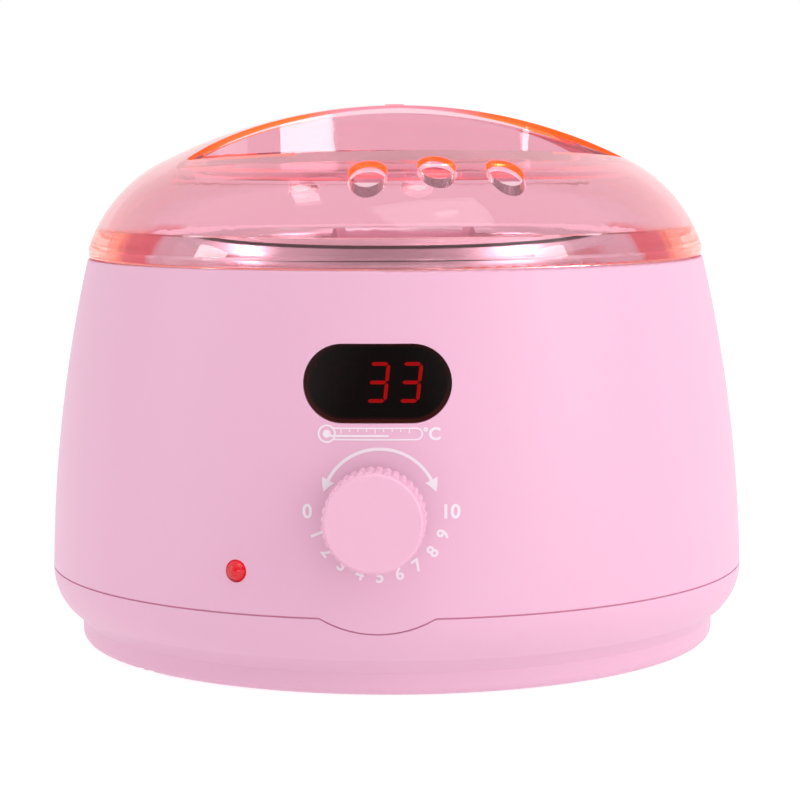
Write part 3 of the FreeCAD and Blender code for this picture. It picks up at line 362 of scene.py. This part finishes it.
def lid_plastic(name):
    """Clear fluorescent pink acrylic. Its cut edges and edge-on rim have a painted orange glow, an
    emission standing in for light gathered inside the plastic.
    """
    mat, tree, shader = new_material(name, {"Transmission Weight": 1.0, "IOR": 1.33})
    at = place_of(tree)
    turned = add(tree, "VectorRotate", {"Vector": at, "Axis": (0, 0, 1), "Angle": -LID_TURN}).outputs[0]
    parts = add(tree, "SeparateXYZ", {"Vector": turned})
    x, y, z = (parts.outputs[k] for k in "XYZ")
    way = add(tree, "SeparateXYZ", {"Vector": add(tree, "TexCoord").outputs["Normal"]}).outputs["Z"]
    steep = ramp_between(tree, math_node(tree, "ABSOLUTE", way), 0.35, 0.5, 1.0, 0.0)
    glow, rose, pale = painted_glow_masks(tree, at, x, y, z, steep)
    graze = add(tree, "LayerWeight", {"Blend": 0.5}).outputs["Facing"]
    # Painted glow at the rim's edge-on ends, below the rebate: red, then orange where the rim is seen
    # more edge-on.
    band = ramp_between(tree, z, LID_REBATE, LID_REBATE + 0.0012, 1.0, 0.0)
    red_end = math_node(tree, "MULTIPLY", ramp_between(tree, graze, 0.40, 0.43), band)
    orange_end = math_node(tree, "MULTIPLY", ramp_between(tree, graze, 0.54, 0.60), band)
    cloud = noise(tree, 40.0, at, 2.0)
    clear = mix_colour(tree, cloud, *CLEAR)
    warm = mix_colour(tree, ramp_between(tree, graze, 0.45, 0.85), clear, SLANTED)
    warm = mix_colour(tree, red_end, warm, RIM_RED)
    warm = mix_colour(tree, orange_end, warm, RIM_ORANGE)
    # Base colour under the painted glow on the cut edges: orange, and rose on the crest's middle.
    cut = mix_colour(tree, rose, CUT_ORANGE, CUT_ROSE)
    wire(tree, mix_colour(tree, glow, warm, cut), shader.inputs["Base Color"])
    hue = mix_colour(tree, glow, GLOW_CLEAR, GLOW_CUT)
    hue = mix_colour(tree, red_end, hue, GLOW_RED)
    hue = mix_colour(tree, orange_end, hue, GLOW_ORANGE)
    hue = mix_colour(tree, rose, hue, GLOW_ROSE)
    # The vents' lower walls: painted pale light.
    hue = mix_colour(tree, pale, hue, GLOW_WALL)
    # Painted glow on the recess floors beside the ridge.
    off_floor = math_node(tree, "ABSOLUTE", math_node(tree, "SUBTRACT", z, FLOOR_Z))
    flat = math_node(tree, "MULTIPLY", ramp_between(tree, way, 0.9, 0.97),
                     ramp_between(tree, off_floor, 0.0004, 0.0008, 1.0, 0.0))
    hue = mix_colour(tree, flat, hue, GLOW_RECESS)
    wire(tree, hue, shader.inputs["Emission Color"])
    ends = math_node(tree, "MULTIPLY", red_end, RIM_GLOW)
    lit = math_node(tree, "MAXIMUM", math_node(tree, "MULTIPLY", glow, CUT_GLOW), ends)
    lit = math_node(tree, "MAXIMUM", lit, math_node(tree, "MULTIPLY", pale, WALL_GLOW))
    lit = math_node(tree, "MAXIMUM", lit, math_node(tree, "MULTIPLY", flat, FLOOR_GLOW))
    # A faint painted glow over the whole lid, at LID_GLOW.
    wire(tree, math_node(tree, "MAXIMUM", lit, LID_GLOW), shader.inputs["Emission Strength"])
    shine = ramp_between(tree, cloud, 0.3, 0.7, 0.01, 0.03)
    cut_rough = math_node(tree, "MULTIPLY", glow, 0.4)
    wire(tree, math_node(tree, "MAXIMUM", shine, cut_rough), shader.inputs["Roughness"])
    haze = ramp_between(tree, graze, 0.45, 0.90, 1.0, 0.4)
    wire(tree, math_node(tree, "MAXIMUM", haze, band), shader.inputs["Transmission Weight"])
    bumped(tree, shader, noise(tree, 90.0, at, 2.0), 0.00001)
    return mat


WINDOW_HALF_X = 0.0165
WINDOW_HALF_Z = 0.0088
LEDGE = (0.0010, 0.0009)  # how far in from the window's outline its painted highlight starts and is full
LEDGE_GLOW = 0.022


def smoked(name):
    """The display's dark red filter, with a painted highlight: an emission band along its lower edge.
    """
    mat, tree, shader = new_material(name, {
        "Transmission Weight": 1.0, "IOR": 1.49, "Emission Color": (1, 0.18, 0.15, 1)})
    at = place_of(tree)
    cloud = noise(tree, 50.0, at, 3.0)
    tint = mix_colour(tree, cloud, (0.20, 0.004, 0.004, 1), (0.24, 0.006, 0.006, 1))
    wire(tree, tint, shader.inputs["Base Color"])
    low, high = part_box("display_window")
    parts = add(tree, "SeparateXYZ", {"Vector": at}).outputs
    from_middle = math_node(tree, "ABSOLUTE", parts["X"])
    end = math_node(tree, "SUBTRACT", from_middle, WINDOW_HALF_X - WINDOW_HALF_Z)
    rise = math_node(tree, "SUBTRACT", parts["Z"], (low.z + high.z) / 2)
    spot = add(tree, "CombineXYZ", {"X": math_node(tree, "MAXIMUM", end, 0.0), "Y": rise}).outputs[0]
    out = add(tree, "VectorMath", {0: spot}, operation="LENGTH").outputs["Value"]
    # Painted highlight along the window's lower outline, strongest low down.
    ledge = ramp_between(tree, out, WINDOW_HALF_Z - LEDGE[0], WINDOW_HALF_Z - LEDGE[1])
    ledge = math_node(tree, "MULTIPLY", ledge, ramp_between(tree, rise, -0.006, 0.002, 1.0, 0.12))
    wire(tree, math_node(tree, "MULTIPLY", ledge, LEDGE_GLOW), shader.inputs["Emission Strength"])
    wire(tree, ramp_between(tree, cloud, 0.3, 0.7, 0.02, 0.06), shader.inputs["Roughness"])
    return mat


def lamp_red(name):
    """The indicator lamp's red plastic, lit from behind, with painted shade: its glow ramps from dim at
    the bottom to brightest at its top.
    """
    mat, tree, shader = new_material(name, {
        "Transmission Weight": 0.55, "IOR": 1.5, "Emission Color": (1, 0.01, 0.03, 1)})
    at = place_of(tree)
    cloud = noise(tree, 300.0, at, 2.0)
    tint = mix_colour(tree, cloud, (0.62, 0.0, 0.01, 1), (0.80, 0.005, 0.02, 1))
    wire(tree, tint, shader.inputs["Base Color"])
    wire(tree, ramp_between(tree, cloud, 0.3, 0.7, 0.06, 0.14), shader.inputs["Roughness"])
    height = add(tree, "SeparateXYZ", {"Vector": at}).outputs["Z"]
    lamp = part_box("indicator_lamp")
    # Painted shade: the glow is dim at the lamp's bottom and brightest at its top.
    level = ramp_between(tree, height, lamp[0].z, lamp[1].z, 0.04, 0.32)
    wire(tree, level, shader.inputs["Emission Strength"])
    return mat


def glowing(name, colour, strength):
    """A lit segment's plastic, a little uneven in brightness."""
    mat, tree, shader = new_material(name, {"Roughness": 0.5, "Emission Color": rgba(colour)})
    at = place_of(tree)
    cloud = noise(tree, 900.0, at, 2.0)
    tint = mix_colour(tree, cloud, rgba(scaled(colour, 0.3)), rgba(scaled(colour, 0.4)))
    wire(tree, tint, shader.inputs["Base Color"])
    level = ramp_between(tree, cloud, 0.3, 0.7, strength * 0.93, strength * 1.07)
    wire(tree, level, shader.inputs["Emission Strength"])
    return mat


PINK = (0.79, 0.44, 0.60)
KNOB_PINK = (0.81, 0.44, 0.595)
FEET_GREY = (0.035, 0.034, 0.036)
INLET_BLACK = (0.018, 0.018, 0.019)
SOFT = {"Subsurface Weight": 0.2, "Subsurface Scale": 0.002, "Subsurface Radius": (1.0, 0.6, 0.7)}
shell = moulded("shell_pink", PINK, 0.42, depth=0.00002, mottle=0.012, **SOFT)
materials = {
    "upper_housing": shell,
    "base_housing": shell,
    "thermostat_knob": moulded("knob_pink", KNOB_PINK, 0.40, depth=0.00001, mottle=0.01, **SOFT),
    "lid": lid_plastic("lid_clear_pink"),
    "display_window": smoked("window_smoked"),
    "indicator_lamp": lamp_red("lamp_red"),
    "rubber_feet": moulded("rubber_grey", FEET_GREY, 0.75, grain=1800, depth=0.00006, mottle=0.15),
    "chamber_gasket": moulded("rubber_white", (0.72, 0.68, 0.66), 0.6, mottle=0.06),
    "heating_chamber": spun("aluminium_polished", (0.90, 0.90, 0.91), 0.12),
    "inner_pot": spun("aluminium_pot", (0.86, 0.86, 0.87), 0.28, pitch=0.0006, depth=0.00002),
    "heater_disc": moulded("heater_ceramic", (0.78, 0.74, 0.68), 0.7, depth=0.00008, mottle=0.08),
    "heater_insulator": mica_sheet("mica_sheet"),
    "control_board": board_green("board_control"),
    "display_board": board_green("board_display"),
    "display_digits": moulded("digit_case", (0.012, 0.012, 0.013), 0.5, mottle=0.3),
    "rating_plate": drawn("plate_satin", (0.80, 0.80, 0.82), 0.32, stretch=(1.0, 14.0, 1.0)),
    "bail_wire": drawn("steel_wire", (0.72, 0.72, 0.74), 0.18),
    "bail_grip": moulded("grip_pink", (0.84, 0.50, 0.62), 0.45, grain=1500, depth=0.00006, mottle=0.03),
    "terminal_block": moulded("terminal_green", (0.05, 0.34, 0.14), 0.45, mottle=0.05),
    "heater_leads": braided("sleeve_white", (0.72, 0.70, 0.66)),
    "inlet_leads": moulded("sleeve_brown", (0.22, 0.09, 0.045), 0.45, mottle=0.06),
    "potentiometer_leads": moulded("sleeve_yellow", (0.75, 0.50, 0.06), 0.45, mottle=0.05),
    "display_leads": moulded("sleeve_blue", (0.05, 0.14, 0.55), 0.45, mottle=0.05),
    "lamp_leads": moulded("sleeve_red", (0.55, 0.03, 0.03), 0.45, mottle=0.05),
    "transformer": moulded("transformer_yellow", (0.62, 0.45, 0.10), 0.4, mottle=0.08),
    "filter_capacitor": moulded("capacitor_black", (0.02, 0.02, 0.03), 0.3, mottle=0.1),
    "relay": moulded("relay_blue", (0.03, 0.09, 0.36), 0.35, mottle=0.05),
    "potentiometer": drawn("potentiometer_can", (0.66, 0.64, 0.60), 0.3),
    "power_inlet": moulded("inlet_black", INLET_BLACK, 0.42, grain=1600, depth=0.00005, mottle=0.2),
    "inlet_pins": drawn("brass_pins", (0.83, 0.62, 0.28), 0.2, stretch=(12.0, 1.0, 12.0)),
    "lamp_holder": moulded("holder_black", (0.02, 0.02, 0.021), 0.45, mottle=0.2),
    "thermal_fuse": moulded("fuse_cream", (0.70, 0.64, 0.50), 0.5, mottle=0.08),
    "potentiometer_nut": drawn("nut_brass", (0.80, 0.66, 0.40), 0.25),
}
steel = drawn("steel_zinc", (0.70, 0.70, 0.69), 0.28)
for name, node in nodes.items():
    for material_slot in node.material_slots:
        material_slot.material = materials.get(name, steel)


# ---------------------------------------------------------------- display digits
window_low, window_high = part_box("display_window")
WINDOW_Z = (window_low.z + window_high.z) / 2
DIGIT_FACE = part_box("display_digits")[0].y
DIGIT_HEIGHT = 9.1 * MM
DIGIT_WIDTH = 4.75 * MM
DIGIT_PITCH = 7.25 * MM
DIGIT_FIRST = -7.35 * MM
DIGIT_DROP = 0.37 * MM
DIGIT_SLANT = math.tan(math.radians(6.2))
BAR = 0.80 * MM
BAR_GAP = 0.14 * MM
BAR_THICK = 0.25 * MM
BAR_SUNK = 0.05 * MM
LIT = {0: "", 1: "abcdg", 2: "abcdg"}


def bar_points(letter):
    """A segment's six corners, about the digit's centre, before the slant."""
    half_w, half_h = DIGIT_WIDTH / 2 - BAR / 2, DIGIT_HEIGHT / 2 - BAR / 2
    upright = letter in "bcef"
    centres = {"a": (0, half_h), "g": (0, 0), "d": (0, -half_h),
               "b": (half_w, half_h / 2), "c": (half_w, -half_h / 2),
               "e": (-half_w, -half_h / 2), "f": (-half_w, half_h / 2)}
    centre = centres[letter]
    reach = (half_h / 2 if upright else half_w) - BAR_GAP
    b = BAR / 2
    corners = [(-reach, 0), (-reach + b, b), (reach - b, b),
               (reach, 0), (reach - b, -b), (-reach + b, -b)]
    if upright:
        corners = [(q, p) for p, q in corners][::-1]
    return [(centre[0] + p, centre[1] + q) for p, q in corners]


def plate_mesh(name, outlines, mapping, material):
    """A thin closed plate for each outline, placed by mapping at the back (0) and the front (1)."""
    bm = bmesh.new()
    for outline in outlines:
        back = [bm.verts.new(mapping(p, q, 0)) for p, q in outline]
        front = [bm.verts.new(mapping(p, q, 1)) for p, q in outline]
        bm.faces.new(front)
        bm.faces.new(back[::-1])
        for i in range(len(outline)):
            j = (i + 1) % len(outline)
            bm.faces.new((back[i], back[j], front[j], front[i]))
    return finished(name, bm, material)


def finished(name, bm, material):
    """Turns a bmesh into an object of one material."""
    bmesh.ops.recalc_face_normals(bm, faces=bm.faces)
    mesh = bpy.data.meshes.new(name)
    bm.to_mesh(mesh)
    bm.free()
    obj = bpy.data.objects.new(name, mesh)
    obj.data.materials.append(material)
    scene.collection.objects.link(obj)
    return obj


def digit_place(digit):
    """The mapping of a digit's slanted outlines to their place behind the window."""
    def place(p, q, layer):
        x = DIGIT_FIRST + DIGIT_PITCH * digit + p + q * DIGIT_SLANT
        return (x, DIGIT_FACE + BAR_SUNK - layer * BAR_THICK, WINDOW_Z - DIGIT_DROP + q)
    return place


lit_red = glowing("segment_lit", (1.0, 0.035, 0.045), 1.6)
unlit_grey = moulded("segment_unlit", (0.06, 0.03, 0.03), 0.45, mottle=0.1)
for digit, letters in LIT.items():
    lit = [bar_points(k) for k in letters]
    dark = [bar_points(k) for k in "abcdefg" if k not in letters]
    for name, bars, material in (("lit", lit, lit_red), ("unlit", dark, unlit_grey)):
        if bars:
            piece = plate_mesh(f"segments_{name}_{digit}", bars, digit_place(digit), material)
            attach(piece, "housing")


# ---------------------------------------------------------------- seam
SEAM_Z = 19.3 * MM
TAB_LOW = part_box("upper_housing")[0].z
TAB_R = 26.0 * MM
TAB_GAP = 0.35 * MM
LIP_HALF = 0.22 * MM
LIP_SUNK = (0.45 * MM, 0.95 * MM)  # depth of its outer and inner faces below the housing's
BODY_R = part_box("base_housing")[1].x
# A darker pink: painted shade in the joint between the housings.
SEAM_SHADE_PINK = (0.74, 0.28, 0.44)
FOOT_PULL = 30.0  # how fast the body narrows below the seam, per metre
TAB_STEPS = 40
BACK_STEPS = 240


def seam_path():
    """Points (x, z, turn) of the front tab's arc, where turn is the angle about its centre."""
    reach = TAB_R + TAB_GAP / 2
    middle = TAB_LOW + TAB_R
    half = math.acos((middle - SEAM_Z) / reach)
    points = []
    for i in range(TAB_STEPS + 1):
        turn = half * (2 * i / TAB_STEPS - 1)
        points.append((reach * math.sin(turn), middle - reach * math.cos(turn), turn))
    return points


def make_seam_shade():
    """A thin band inside the joint of the two housings, a little below their faces. It stands in for
    the lower shell's lip, and its darker pink is painted shade in the joint.

    It follows the front tab's arc, and goes round the back at one height.
    """
    bm = bmesh.new()
    rings = []
    tab = seam_path()
    edge = math.asin(tab[-1][0] / BODY_R)
    spots = [(x, z, turn, None) for x, z, turn in tab]
    for i in range(1, BACK_STEPS):
        azimuth = edge + (2 * math.pi - 2 * edge) * i / BACK_STEPS
        spots.append((0.0, SEAM_Z, 0.0, azimuth))
    for x, z, turn, azimuth in spots:
        shrink = FOOT_PULL * (SEAM_Z - z) ** 2
        across = (math.sin(turn), -math.cos(turn))
        ring = []
        for side, sunk in ((-1, 0), (1, 0), (1, 1), (-1, 1)):
            radius = BODY_R - shrink - LIP_SUNK[sunk]
            p = x + across[0] * LIP_HALF * side
            around = math.asin(p / radius) if azimuth is None else azimuth
            height = z + across[1] * LIP_HALF * side
            ring.append(bm.verts.new((radius * math.sin(around), -radius * math.cos(around), height)))
        rings.append(ring)
    for a, b in zip(rings, rings[1:] + rings[:1]):
        for k in range(4):
            m = (k + 1) % 4
            bm.faces.new((a[k], a[m], b[m], b[k]))
    return finished("seam_shade_band", bm, moulded("seam_shade_pink", SEAM_SHADE_PINK, 0.6))


seam_shade_band = make_seam_shade()
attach(seam_shade_band, "housing")


# ---------------------------------------------------------------- printed marks
housing_surface = surface_of(nodes["upper_housing"])
PRINT_RAISED = 0.06 * MM
PRINT_SUNK = 0.03 * MM
RAY_START = -0.15
knob_low, knob_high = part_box("thermostat_knob")
DIAL_X = (knob_low.x + knob_high.x) / 2 + 0.6 * MM
DIAL_Z = (knob_low.z + knob_high.z) / 2 + 1.35 * MM
HEAD_STEPS = 8
SCALE_Z = DIAL_Z + 16.3 * MM


def on_housing(p, q, layer):
    """The point of the housing's front that is seen at (p, q), lifted to the print's face."""
    hit, normal, _, _ = housing_surface.ray_cast(Vector((p, RAY_START, q)), Vector((0, 1, 0)))
    if normal.y > 0:
        normal = -normal
    return hit + normal * (PRINT_RAISED if layer else -PRINT_SUNK)


def strip_outlines(path, half_widths, closed=False):
    """Quads along a path of (x, z) points, with a half width at each."""
    sides = []
    count = len(path)
    for i, (p, q) in enumerate(path):
        before = path[i - 1] if i or closed else path[i]
        after = path[(i + 1) % count] if i < count - 1 or closed else path[i]
        along = Vector((after[0] - before[0], after[1] - before[1])).normalized()
        across = Vector((-along.y, along.x)) * half_widths[i]
        sides.append(((p + across.x, q + across.y), (p - across.x, q - across.y)))
    return sides


def print_strip(bm, path, half_widths, closed=False):
    """Adds one closed ribbon of print that follows the housing."""
    sides = strip_outlines(path, half_widths, closed)
    rows = []
    for left, right in sides:
        row = [on_housing(*left, 0), on_housing(*right, 0), on_housing(*right, 1), on_housing(*left, 1)]
        rows.append([bm.verts.new(v) for v in row])
    pairs = list(zip(rows, rows[1:] + rows[:1])) if closed else list(zip(rows, rows[1:]))
    for a, b in pairs:
        for k in range(4):
            m = (k + 1) % 4
            bm.faces.new((a[k], a[m], b[m], b[k]))
    if not closed:
        bm.faces.new(rows[0])
        bm.faces.new(rows[-1][::-1])


def arc(centre, radius, start, end, steps):
    """Points along an arc, with its angles in degrees."""
    return [(centre[0] + radius * math.cos(math.radians(start + (end - start) * i / steps)),
             centre[1] + radius * math.sin(math.radians(start + (end - start) * i / steps)))
            for i in range(steps + 1)]


def line(a, b, steps):
    """Points along a straight line."""
    return [(a[0] + (b[0] - a[0]) * i / steps, a[1] + (b[1] - a[1]) * i / steps)
            for i in range(steps + 1)]


def even(path, half):
    """The same half width at every point of a path."""
    return [half] * len(path)


def print_arrow(bm):
    """The two-headed arrow over the knob."""
    centre, radius = (DIAL_X, DIAL_Z), 13.0 * MM
    left_tip, right_tip, head = 164.5, 15.5, 11.0
    body = arc(centre, radius, left_tip - head, right_tip + head, 60)
    print_strip(bm, body, even(body, 0.36 * MM))
    for tip, turn in ((left_tip, -1), (right_tip, 1)):
        path = arc(centre, radius, tip, tip + turn * (head + 1.5), HEAD_STEPS)
        widths = [0.02 * MM + 1.5 * MM * i / HEAD_STEPS for i in range(HEAD_STEPS + 1)]
        print_strip(bm, path, widths)


def print_thermometer(bm):
    """A thermometer lying on its side under the display, with its scale inside the tube."""
    z = SCALE_Z
    left, right = DIAL_X - 13.0 * MM, DIAL_X + 8.2 * MM
    tube = 1.25 * MM
    outline = (line((left + 2.6 * MM, z + tube), (right, z + tube), 20)
               + arc((right, z), tube, 90, -90, 10)[1:]
               + line((right, z - tube), (left + 2.6 * MM, z - tube), 20)[1:])
    print_strip(bm, outline, even(outline, 0.17 * MM))
    bulb = arc((left + 1.2 * MM, z), 1.85 * MM, 0, 360, 32)[:-1]
    print_strip(bm, bulb, even(bulb, 0.20 * MM), closed=True)
    core = arc((left + 1.2 * MM, z), 0.45 * MM, 0, 360, 16)[:-1]
    print_strip(bm, core, even(core, 0.44 * MM), closed=True)
    column = line((left + 2.0 * MM, z - 0.45 * MM), (left + 15.0 * MM, z - 0.45 * MM), 18)
    print_strip(bm, column, even(column, 0.24 * MM))
    high = z + tube - 0.2 * MM
    for i in range(9):
        x = left + (4.4 + 1.9 * i) * MM
        length = (0.95 if i % 4 == 0 else 0.6) * MM
        tick = line((x, high), (x, high - length), 2)
        print_strip(bm, tick, even(tick, 0.13 * MM))


def glyphs(bm, text, centre, height, tilt=0.0):
    """Adds a number or a unit sign, centred on a point and turned by tilt, that follows the housing."""
    curve = bpy.data.curves.new("glyph", "FONT")
    curve.body = text
    curve.extrude = 0.5
    curve.offset = 0.028
    curve.resolution_u = 6
    obj = bpy.data.objects.new("glyph", curve)
    mesh = bpy.data.meshes.new_from_object(obj)
    xs = [v.co.x for v in mesh.vertices]
    ys = [v.co.y for v in mesh.vertices]
    middle = Vector(((min(xs) + max(xs)) / 2, (min(ys) + max(ys)) / 2))
    size = height / (max(ys) - min(ys))
    cos, sin = math.cos(tilt), math.sin(tilt)
    placed = []
    for v in mesh.vertices:
        p, q = (v.co.x - middle.x) * size, (v.co.y - middle.y) * size
        spot = on_housing(centre[0] + p * cos - q * sin, centre[1] + p * sin + q * cos, v.co.z > 0)
        placed.append(bm.verts.new(spot))
    for face in mesh.polygons:
        bm.faces.new([placed[i] for i in face.vertices])
    bpy.data.objects.remove(obj)
    bpy.data.curves.remove(curve)
    bpy.data.meshes.remove(mesh)


def print_numbers(bm):
    """The dial's numbers, round the lower half of the knob."""
    numbers, radius = 9, 15.2 * MM
    start, end = 203.0, 337.0
    for i in range(numbers):
        angle = math.radians(start + (end - start) * i / (numbers - 1))
        spot = (DIAL_X + radius * math.cos(angle), DIAL_Z + radius * math.sin(angle))
        glyphs(bm, str(i + 1), spot, 2.9 * MM, angle + math.pi / 2)


def print_ends(bm):
    """The dial's lowest and highest numbers, at the arrow's two ends."""
    glyphs(bm, "0", (DIAL_X - 16.2 * MM, DIAL_Z - 0.9 * MM), 3.3 * MM)
    glyphs(bm, "10", (DIAL_X + 16.1 * MM, DIAL_Z - 0.9 * MM), 3.3 * MM)


def print_unit(bm):
    """The unit sign after the thermometer: a ring and a C for Celsius."""
    z = SCALE_Z
    ring = arc((DIAL_X + 10.2 * MM, z + 0.95 * MM), 0.32 * MM, 0, 360, 16)[:-1]
    print_strip(bm, ring, even(ring, 0.18 * MM), closed=True)
    glyphs(bm, "C", (DIAL_X + 12.2 * MM, z), 2.9 * MM)


ink = moulded("ink_white", (0.86, 0.74, 0.82), 0.5, grain=3000, depth=0.00001, mottle=0.03)
for draw in (print_arrow, print_numbers, print_ends, print_unit, print_thermometer):
    bm = bmesh.new()
    draw(bm)
    piece = finished(draw.__name__, bm, ink)
    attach(piece, "housing")


# ---------------------------------------------------------------- stage
AIM = Vector((0.0, 0.0, 0.07))
FRONT_LEVEL = 0.12
LEFT_LEVEL = 0.88
RIGHT_LEVEL = 1.05
FLOOR_HALF = 9.0
FLOOR_SEEN = 0.80
FLOOR_LIGHT = 0.62


def make_floor():
    """A pale floor: one brightness to the camera, and a dimmer one to what it lights."""
    bm = bmesh.new()
    bmesh.ops.create_grid(bm, x_segments=1, y_segments=1, size=FLOOR_HALF)
    mesh = bpy.data.meshes.new("floor")
    bm.to_mesh(mesh)
    bm.free()
    floor = bpy.data.objects.new("floor", mesh)
    scene.collection.objects.link(floor)
    mat, tree, shader = new_material("floor_white", {
        "Base Color": (0.35, 0.35, 0.35, 1), "Roughness": 0.9, "Specular IOR Level": 0.0,
        "Emission Color": (1, 1, 1, 1)})
    path = add(tree, "LightPath").outputs
    seen = math_node(tree, "LESS_THAN", path["Diffuse Depth"], 0.5)
    level = ramp_between(tree, seen, 0.0, 1.0, FLOOR_LIGHT, FLOOR_SEEN)
    wire(tree, level, shader.inputs["Emission Strength"])
    mesh.materials.append(mat)


def make_world():
    """White behind the object, and for its light a studio that is dark in front and pale elsewhere."""
    world = bpy.data.worlds.new("studio")
    world.use_nodes = True
    tree = world.node_tree
    tree.nodes.clear()
    path = add(tree, "LightPath").outputs
    bounced = math_node(tree, "ADD", path["Diffuse Depth"], path["Glossy Depth"])
    seen = math_node(tree, "LESS_THAN", bounced, 0.5)
    way = add(tree, "SeparateXYZ", {"Vector": add(tree, "TexCoord").outputs["Generated"]}).outputs
    front = ramp_between(tree, way["Y"], -0.96, -0.62, FRONT_LEVEL, 1.0)
    across = ramp_between(tree, way["X"], -1.0, 1.0, LEFT_LEVEL, RIGHT_LEVEL)
    level = math_node(tree, "MULTIPLY", front, across)
    studio = add(tree, "Background", {"Color": (1, 1, 1, 1), "Strength": level})
    plain = add(tree, "Background", {"Color": (1, 1, 1, 1), "Strength": 1.0})
    blend = add(tree, "MixShader", {0: seen, 1: studio.outputs[0], 2: plain.outputs[0]})
    out = add(tree, "OutputWorld")
    tree.links.new(blend.outputs[0], out.inputs["Surface"])
    scene.world = world


def softbox(name, place, target, width, height, level):
    """A rectangular lamp whose face has the brightness given."""
    lamp = bpy.data.lights.new(name, "AREA")
    lamp.shape = "RECTANGLE"
    lamp.size, lamp.size_y = width, height
    lamp.energy = level * math.pi * width * height
    obj = bpy.data.objects.new(name, lamp)
    scene.collection.objects.link(obj)
    obj.location = place
    obj.rotation_euler = (Vector(target) - Vector(place)).to_track_quat("-Z", "Y").to_euler()
    return obj


def round_the_pot(azimuth, elevation, distance):
    """A place round the pot: azimuth from the front towards +X, both angles in degrees."""
    a, e = math.radians(azimuth), math.radians(elevation)
    return AIM + distance * Vector((math.sin(a) * math.cos(e), -math.cos(a) * math.cos(e), math.sin(e)))


def body_light(name, place, width, height, level):
    """A soft lamp for all but the lid and the window, which would mirror it."""
    lamp = softbox(name, place, AIM, width, height, level)
    lamp.light_linking.receiver_collection = matt_pieces


def mirrored_box(name, spot, distance, width, height, level):
    """A lamp that the lid mirrors to the camera at a spot. It lights the lid alone."""
    eye = scene.camera.matrix_world.translation
    hit, normal, _, _ = lid_surface.ray_cast(eye, (Vector(spot) - eye).normalized())
    way = (hit - eye).normalized().reflect(normal)
    lamp = softbox(name, hit + way * distance, hit, width, height, level)
    lamp.light_linking.receiver_collection = lid_only


make_camera()
make_world()
make_floor()
lid_only = bpy.data.collections.new("lid_only")
lid_only.objects.link(nodes["lid"])
matt_pieces = bpy.data.collections.new("matt_pieces")
for piece in list(scene.collection.all_objects):
    if piece.type == "MESH" and piece not in (nodes["lid"], nodes["display_window"]):
        matt_pieces.objects.link(piece)
softbox("key", round_the_pot(59, 20, 1.2), AIM, 0.60, 0.95, 2.2)
softbox("fill", round_the_pot(-75, 14, 1.2), AIM, 0.55, 0.85, 1.0)
body_light("low", round_the_pot(12, 2, 1.2), 0.90, 0.40, 1.7)
softbox("top", round_the_pot(30, 66, 1.1), AIM, 0.55, 0.45, 2.0)
mirrored_box("wall_strip", (-0.0245, -0.012, 0.123), 1.1, 0.056, 0.30, 16.0)
mirrored_box("rim_left", (-0.0380, -0.0669, 0.0998), 1.0, 0.22, 0.12, 16.0)
mirrored_box("rim_right", (0.0395, -0.0664, 0.0998), 1.0, 0.22, 0.12, 16.0)
mirrored_box("dome_left", (-0.018, -0.06, 0.1135), 0.9, 0.20, 0.10, 4.0)
mirrored_box("dome_right", (0.015, -0.065, 0.1095), 0.9, 0.11, 0.05, 3.5)
scene.cycles.max_bounces = 16
scene.cycles.glossy_bounces = 10
scene.cycles.transmission_bounces = 16
scene.view_settings.view_transform = "Standard"
